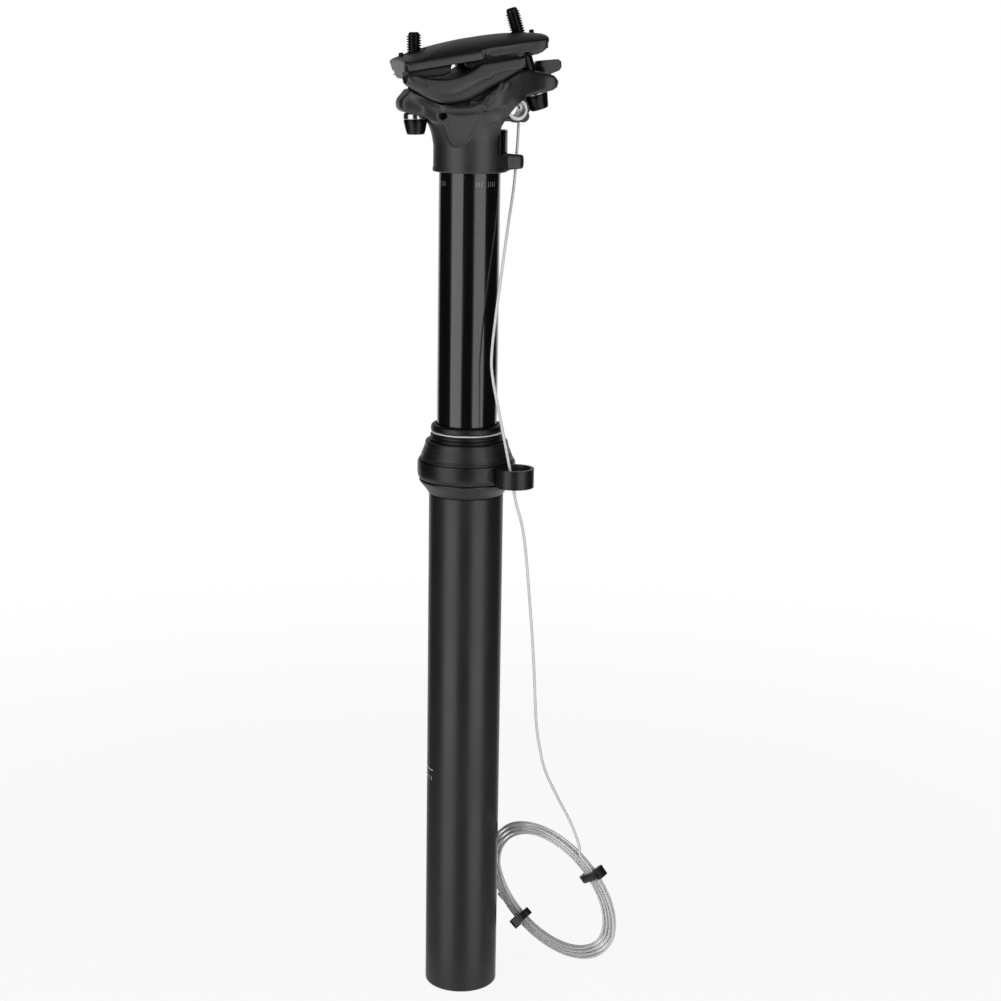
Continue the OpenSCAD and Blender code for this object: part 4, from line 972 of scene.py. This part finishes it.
def makeUpperClamp():
    clamp = {"voxel": 0.42, "passes": 6, "half": 26, "crownHigh": 1.2, "sideFall": 2.3, "endFall": 0.8,
             "recess": 0.9, "boltRoom": 3.6, "boltLean": 1.45}
    piece = copyOf("upper_clamp", "saddlePlate")
    facet = [(-27.5, -10.1), (1.4, -10.1), (2.0, -10.8), (1.9, -12.7), (0.8, -13.2), (-27.6, -13.3)]
    ribs = [[(-27.2, -12.6), (-8.8, -12.6), (-9.8, -16.6), (-13, -17.6), (-20, -17.0), (-24, -16.6),
             (-27.2, -16.2)],
            [(-3.2, -12.6), (24, -12.6), (22, -14.4), (18, -15.4), (4, -16.8), (-1.6, -16.9),
             (-2.8, -15.4)]]
    rearEnd = [(20.6, -8), (28.2, -8), (29.0, -9.6), (28.3, -13.2), (26.2, -14.4), (22.3, -14.7),
               (20.8, -13.6)]
    noseLip = [(-28.6, -9), (-24.6, -9), (-24.6, -15.9), (-26.2, -16.7), (-28, -16.6), (-28.6, -15.8)]
    forms = []
    for side in (-1, 1):
        y = clamp["half"] * side
        forms.append(lofted("facet", [
            [(u, y - 3 * side, w) for u, w in facet], [(u, y + 0.1 * side, w) for u, w in facet],
            [(u * 0.985 - 0.2, y + (0.85 if w > -11 else 0.2) * side, w * 0.97 - 0.35) for u, w in facet]]))
        forms += [sideForm("rib", rib, 8.6 * side, 16.2 * side) for rib in ribs]
        forms.append(lofted("rearEnd", [
            [(u, 6 * side, w) for u, w in rearEnd], [(u, 24.4 * side, w) for u, w in rearEnd],
            [(u * 0.97 + 0.4, 25.6 * side, w * 0.93 - 0.5) for u, w in rearEnd]]))
    forms.append(lofted("noseLip", [[(u, y, w if w > -10 else w + rise) for u, w in noseLip]
                                    for y, rise in ((-13, 1.2), (-8.5, 0), (8.5, 0), (13, 1.2))]))
    placeAll(forms, clampPlace)
    piece = joinPieces("saddlePlate", [piece] + forms)
    remesh(piece, clamp["voxel"])
    recess = clamp["recess"]
    outline = [(2.6, -14.5), (2.9, -12.4), (3.8, -10.2), (6, -8.4), (10, -7.7), (18, -8.1), (27.6, -9),
               (27.8, -14.5)]
    hollow = [(2.2, -13.3), (4.4, -11.9), (7.1, -11.3), (12.2, -11.6), (18.6, -12.2), (20.2, -13),
              (20.6, -20), (2.2, -20)]
    pockets = []
    for side in (-1, 1):
        pockets.append(lofted("pocket", [
            [(u, (clamp["half"] - recess + max(0, u - 14) * recess / 12) * side, w) for u, w in outline],
            [(u, 30 * side, w) for u, w in outline]]))
        pockets.append(sideForm("hollow", hollow, 16.4 * side, 31 * side))
    placeAll(pockets, clampPlace)
    for where in (frontBoltPlace, rearBoltPlace):  # room for the bolts to lean as the clamp tilts
        room = rod("boltRoom", clamp["boltRoom"], 20, 60, 48)
        place(room, where @ Matrix.Diagonal((clamp["boltLean"], 1, 1, 1)))
        pockets.append(room)
    for form in pockets:
        cut(piece, form)
    closeMesh(piece)
    toClamp = clampPlace.inverted()
    for vert in piece.data.vertices:  # crown the plate, high in the middle and falling to its sides
        here = toClamp @ vert.co
        up = max(0, min(1, (here.z / mm + 10.2) / 3))
        across, run = abs(here.y) / (clamp["half"] * mm), (here.x - 1 * mm) / (30 * mm)
        rise = clamp["crownHigh"] * max(0, 1 - across ** 2) * max(0, 1 - run * run)
        fall = clamp["sideFall"] * across ** 4 + clamp["endFall"] * abs(run) ** 6
        vert.co = clampPlace @ (here + Vector((0, 0, (rise - fall) * up * mm)))
    castSmooth(piece, clamp["voxel"], clamp["passes"])
    finishPiece(piece, "forged", "saddle_clamp", "forged_alloy", "upper_clamp")


makeCradle()
makeHead()
makeUpperClamp()
print("forged pieces: head, cradle and clamp plate")


# Bolts, washers, barrel nuts and dowels

# The section of one thread, wound up the bolt
def makeThread(core, crest, low, high, pitch):
    deselectAll()
    bpy.ops.mesh.primitive_circle_add(vertices=4, radius=mm)
    ridge = bpy.context.object
    shape = [(core - 0.12, -0.44), (crest + 0.08, -0.12), (crest + 0.08, 0.12), (core - 0.12, 0.44)]
    for vert, (x, z) in zip(ridge.data.vertices, shape):
        vert.co = (x * mm, 0, (low + z * pitch) * mm)
    turns = int((high - low) / pitch)
    useModifier(ridge, "SCREW", axis="Z", screw_offset=pitch * mm, iterations=turns, steps=28,
                render_steps=28, angle=2 * math.pi, use_smooth_shade=True)
    pick(ridge)
    setMode("EDIT")
    bpy.ops.mesh.select_all(action="DESELECT")
    bpy.ops.mesh.select_non_manifold()
    bpy.ops.mesh.fill_holes(sides=4)
    setMode("OBJECT")
    closeMesh(ridge)
    return ridge


def makeBolt(name, node, body, where, threadLow, reach):
    bolt = {"top": 3.9, "low": -2.1, "head": 4.9, "foot": 3.7, "shank": 2.9, "core": 2.3, "pitch": 1.0}
    key = {"radius": 2.85, "long": 8}
    top, low, wide, narrow, shank, core, pitch = bolt.values()
    profile = [(0.2, low), (narrow - 0.55, low), (narrow - 0.1, low + 0.25), (narrow + 0.1, low + 0.8),
               (4.2, low + 2.3), (4.6, low + 4.2), (wide - 0.05, top - 0.6), (wide - 0.1, top - 0.15),
               (wide - 0.4, top), (shank, top), (shank, threadLow - 0.5), (core, threadLow),
               (core, reach - 0.7), (core - 0.6, reach), (0.2, reach)]
    piece = turned(name, profile, sides=64, shade=30)
    deselectAll()
    bpy.ops.mesh.primitive_cylinder_add(vertices=6, radius=key["radius"] * mm, depth=key["long"] * mm)
    cut(piece, bpy.context.object)
    ridge = makeThread(core, shank, threadLow + 0.2, reach - 1.2, pitch)
    piece = joinPieces(name, [piece, ridge])
    place(piece, where)
    smoothShade(piece, 30)
    finishPiece(piece, "blackSteel", body, "black_steel", node)


def makeWasher(name, node, body, where):
    washer = {"ball": 7.8, "rim": 4.95, "bore": 2.95, "seat": 4.0}
    r, rim, bore, seat = washer.values()
    ball = [(r * math.sin(math.radians(a)), r * math.cos(math.radians(a))) for a in range(24, 40, 3)]
    profile = ([(bore, seat), (rim - 0.25, seat), (rim, seat + 0.25),
                (rim, math.sqrt(r ** 2 - rim ** 2))] + ball[::-1]
               + [(bore + 0.1, ball[0][1] + 0.02), (bore, ball[0][1] - 0.2), (bore, seat)])
    piece = turned(name, profile, sides=72, shade=40)
    place(piece, where)
    finishPiece(piece, "steel", body, "bright_steel", node)


# Barrel with rounded ends, its flat on top and a chamfered mouth round the bolt
def makeNut(name, node, body, where):
    nut = {"radius": 4, "half": 7.4, "lid": 1.2, "mouth": 3.25, "below": -9}
    r, half, lid, mouth, w = nut.values()
    barrel = turned(name, [(0.2, -half), (r - 0.5, -half), (r - 0.12, -half + 0.12), (r, -half + 0.5),
                           (r, half - 0.5), (r - 0.12, half - 0.12), (r - 0.5, half), (0.2, half)], sides=72)
    corners = zip(*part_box(node))
    u = (clampPlace.inverted() @ Vector([(a + b) / 2 for a, b in corners])).x / mm
    centre = clampPlace @ Vector((u * mm, 0, w * mm))
    place(barrel, clampPlace @ at(u, 0, w, 90, "X"))
    cover = slab("nutLid", u - 9, u + 9, w + lid, 6, -12, 12)
    place(cover, clampPlace)
    cut(barrel, cover)
    shaft = (where.inverted() @ centre).z / mm
    hole = turned("nutMouth", [(0.2, 0), (mouth - 0.3, 0), (mouth - 0.3, shaft + 1),
                               (mouth + 0.5, shaft + 2.4), (mouth + 0.5, shaft + 8), (0.2, shaft + 8)],
                  sides=48)
    place(hole, where)
    cut(barrel, hole)
    closeMesh(barrel)
    softenEdges(barrel, 0.18, angle=40)
    smoothShade(barrel, 34)
    finishPiece(barrel, "blackSteel", body, "black_steel", node)


# Two roll pins beside the nuts, each a tube with a chamfered lip
def makeDowels():
    dowel = {"radius": 1.0, "bore": 0.45, "shift": 0.25, "lower": 0.7}
    r, bore, shift, lower = dowel.values()
    places = [clampPlace.inverted() @ vert.co for vert in nodes["nut_pins"].data.vertices]
    middle = sum(p.x for p in places) / len(places)
    pins = []
    for isFront in (True, False):
        mine = [p for p in places if (p.x < middle) == isFront]
        us, ws = [p.x for p in mine], [p.z for p in mine]
        u, foot, top = (min(us) + max(us)) / 2 / mm, min(ws) / mm, max(ws) / mm
        u += shift if isFront else -shift
        top -= lower if isFront else 0
        pin = turned("dowel", [(bore, foot), (r - 0.2, foot), (r, foot + 0.2), (r, top - 0.3),
                               (r - 0.3, top), (bore, top), (bore, foot)], sides=28)
        place(pin, clampPlace @ at(u, 0, 0))
        pins.append(pin)
    finishPiece(joinPieces("nutDowels", pins), "blackSteel", "saddle_clamp", "black_steel", "nut_pins")


makeBolt("frontBolt", "front_bolt", "front_screw", frontBoltPlace, 24, 38.5)
makeBolt("rearBolt", "rear_bolt", "rear_screw", rearBoltPlace, 21, 40.1)
makeWasher("frontWasher", "front_washer", "front_swivel", frontBoltPlace)
makeWasher("rearWasher", "rear_washer", "rear_swivel", rearBoltPlace)
makeNut("frontNut", "front_nut", "front_barrel", frontBoltPlace)
makeNut("rearNut", "rear_nut", "rear_barrel", rearBoltPlace)
makeDowels()
print("clamp bolts, washers, nuts and dowels")


# Release lever with its anchor, and the cover behind the neck

def makeLever():
    piece = copyOf("actuator_lever", "releaseLever")
    softenEdges(piece, 0.5, angle=32, segments=3)
    closeMesh(piece)
    smoothShade(piece, 34)
    finishPiece(piece, "gloss", "release_lever", "black_steel", "actuator_lever")


# Ground pin, sunk a little into both sides of the head and chamfered at its ends
def makeLeverPin():
    pin = {"sunk": 2.2, "chamfer": 0.25}
    low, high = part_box("lever_pin")
    radius, half = (high[2] - low[2]) / 2 / mm, (high[1] - low[1]) / 2 / mm - pin["sunk"]
    shy = pin["chamfer"]
    piece = turned("leverPin", [(0.2, -half), (radius - shy, -half), (radius, -half + shy),
                                (radius, half - shy), (radius - shy, half), (0.2, half)], sides=40)
    place(piece, Matrix.Translation([(a + b) / 2 for a, b in zip(low, high)])
          @ Matrix.Rotation(math.pi / 2, 4, "X"))
    finishPiece(piece, "blackSteel", "upper_post", "black_steel", "lever_pin")


# Turned with a domed flange and a lead-in round the hole
def makeAnchor():
    anchor = {"barrel": 3.55, "hole": 2.85, "rim": 4.5, "face": -5.3, "back": -2.9, "far": 2.9}
    eyelet = (18.4, 0, 284.4)
    barrel, hole, rim, face, back, far = anchor.values()
    profile = [(hole, far - 0.2), (hole + 0.2, far), (barrel, far), (barrel, back), (rim - 0.1, back),
               (rim, back - 0.15), (rim, face + 0.5), (rim - 0.25, face + 0.1), (rim - 0.5, face),
               (hole + 0.5, face), (hole + 0.15, face + 0.15), (hole, face + 0.5), (hole, far - 0.2)]
    piece = turned("wireAnchor", profile, sides=96, shade=30)
    place(piece, at(*eyelet, -90, "X"))
    finishPiece(piece, "anchor", "release_lever", "bright_alloy", "cable_anchor")


def makeRearCover():
    cover = {"inside": 13.95, "outside": 15.42, "low": 266.65, "high": 276.05, "span": 94, "shy": 0.35,
             "steps": 36}
    r0, r1, low, high, span, shy, steps = cover.values()
    section = [(r0, low), (r1 - 0.35, low), (r1 - 0.1, low + 0.12), (r1, low + 0.4),
               (r1 + 0.05, low + 2), (r1 + 0.05, high - 2), (r1, high - 0.4), (r1 - 0.1, high - 0.12),
               (r1 - 0.35, high), (r0, high)]
    rings = []
    for i in range(steps + 1):
        angle = math.radians(-span / 2 + span * i / steps)
        less = shy if i in (0, steps) else 0.0
        outs = [(r - less if r > r0 + 0.1 else r, z) for r, z in section]
        rings.append([(r * math.cos(angle), r * math.sin(angle), z) for r, z in outs])
    piece = lofted("rearCover", rings)
    smoothShade(piece, 34)
    finishPiece(piece, "gloss", "upper_post", "gloss_plastic", "rear_cover")


# Strap round the wire's turns, ratchet head outside it and cut tail inside
def makeTies():
    tie = {"wide": 3.5, "thick": 0.9, "head": (2.6, 4.6), "tail": (1.6, 3.4), "gap": 0.3,
           "at": {"coil_tie_upper": 33, "coil_tie_lower": -134}}
    t, half = tie["thick"], tie["wide"] / 2
    clear = wireFacts["diameter"] / 2 + tie["gap"]
    inside = wireFacts["coilRadius"] - wireFacts["coilPitch"] * coilFlip - clear
    outside = wireFacts["coilRadius"] + clear
    low, high = -clear, wireFacts["coilPitch"] + clear
    for number, (node, angle) in enumerate(tie["at"].items(), 1):
        turn = math.radians(angle)
        outward = math.cos(turn) * coilRight + math.sin(turn) * coilUp
        along = coilAxis.cross(outward)
        centre = wireFacts["coilCentre"]
        where = Matrix([(outward[i], along[i], coilAxis[i], centre[i] * mm) for i in range(3)]
                       + [(0, 0, 0, 1)])
        strap = sawn("strap", [
            (inside - t, low - t * 0.3), (inside - t * 0.3, low - t), (outside + t * 0.3, low - t),
            (outside + t, low - t * 0.3), (outside + t, high + t * 0.3), (outside + t * 0.3, high + t),
            (inside - t * 0.3, high + t), (inside - t, high + t * 0.3)], -half, half)
        cut(strap, slab("hollow", inside, outside, low, high, -9, 9))
        deep, wide = tie["head"]
        root, end = outside + t, outside + t + deep
        box = sawn("tieHead", [(root - 0.3, low - 0.6), (end - 0.5, low - 0.6), (end, low - 0.1),
                               (end, high + 0.1), (end - 0.5, high + 0.6), (root - 0.3, high + 0.6)],
                   -wide / 2, wide / 2)
        cut(box, slab("tieSlot", root + 0.7, root + 1.6, low - 3, high + 3, -1.5, 1.5))
        deep, wide = tie["tail"]
        root, end = inside - t, inside - t - deep
        tail = sawn("tieTail", [(end, low + 0.2), (root + 0.3, low - 0.1), (root + 0.3, high + 0.1),
                                (end, high - 0.2)], -wide / 2, wide / 2)
        for form in (strap, box, tail):
            softenEdges(form, 0.16, angle=30)
        piece = joinPieces("wireTie" + str(number), [strap, box, tail])
        place(piece, where)
        smoothShade(piece, 34)
        finishPiece(piece, "tie", "lower_post", "clip_plastic", node)


makeLever()
makeLeverPin()
makeAnchor()
makeRearCover()
makeTies()
print("lever, anchor, cover and ties")


# Materials of the CAD nodes that stay as they are, most of them inside the post

def dressInside():
    kept = {"bottom_plug": "acetal", "rod_bolt": "steel", "piston_rod": "steel", "piston_head": "brass",
            "piston_seal": "rubber", "upper_bushing": "ptfe", "lower_bushing": "ptfe",
            "retaining_ring": "blackSteel", "key_pins": "brass", "cartridge_tube": "alloy",
            "cartridge_gland": "alloy", "top_out_bumper": "rubber", "valve_body": "alloy",
            "valve_pin": "steel"}
    for node, look in kept.items():
        for slot in nodes[node].material_slots:
            slot.material = finish[look]


dressInside()
print("inner nodes dressed")
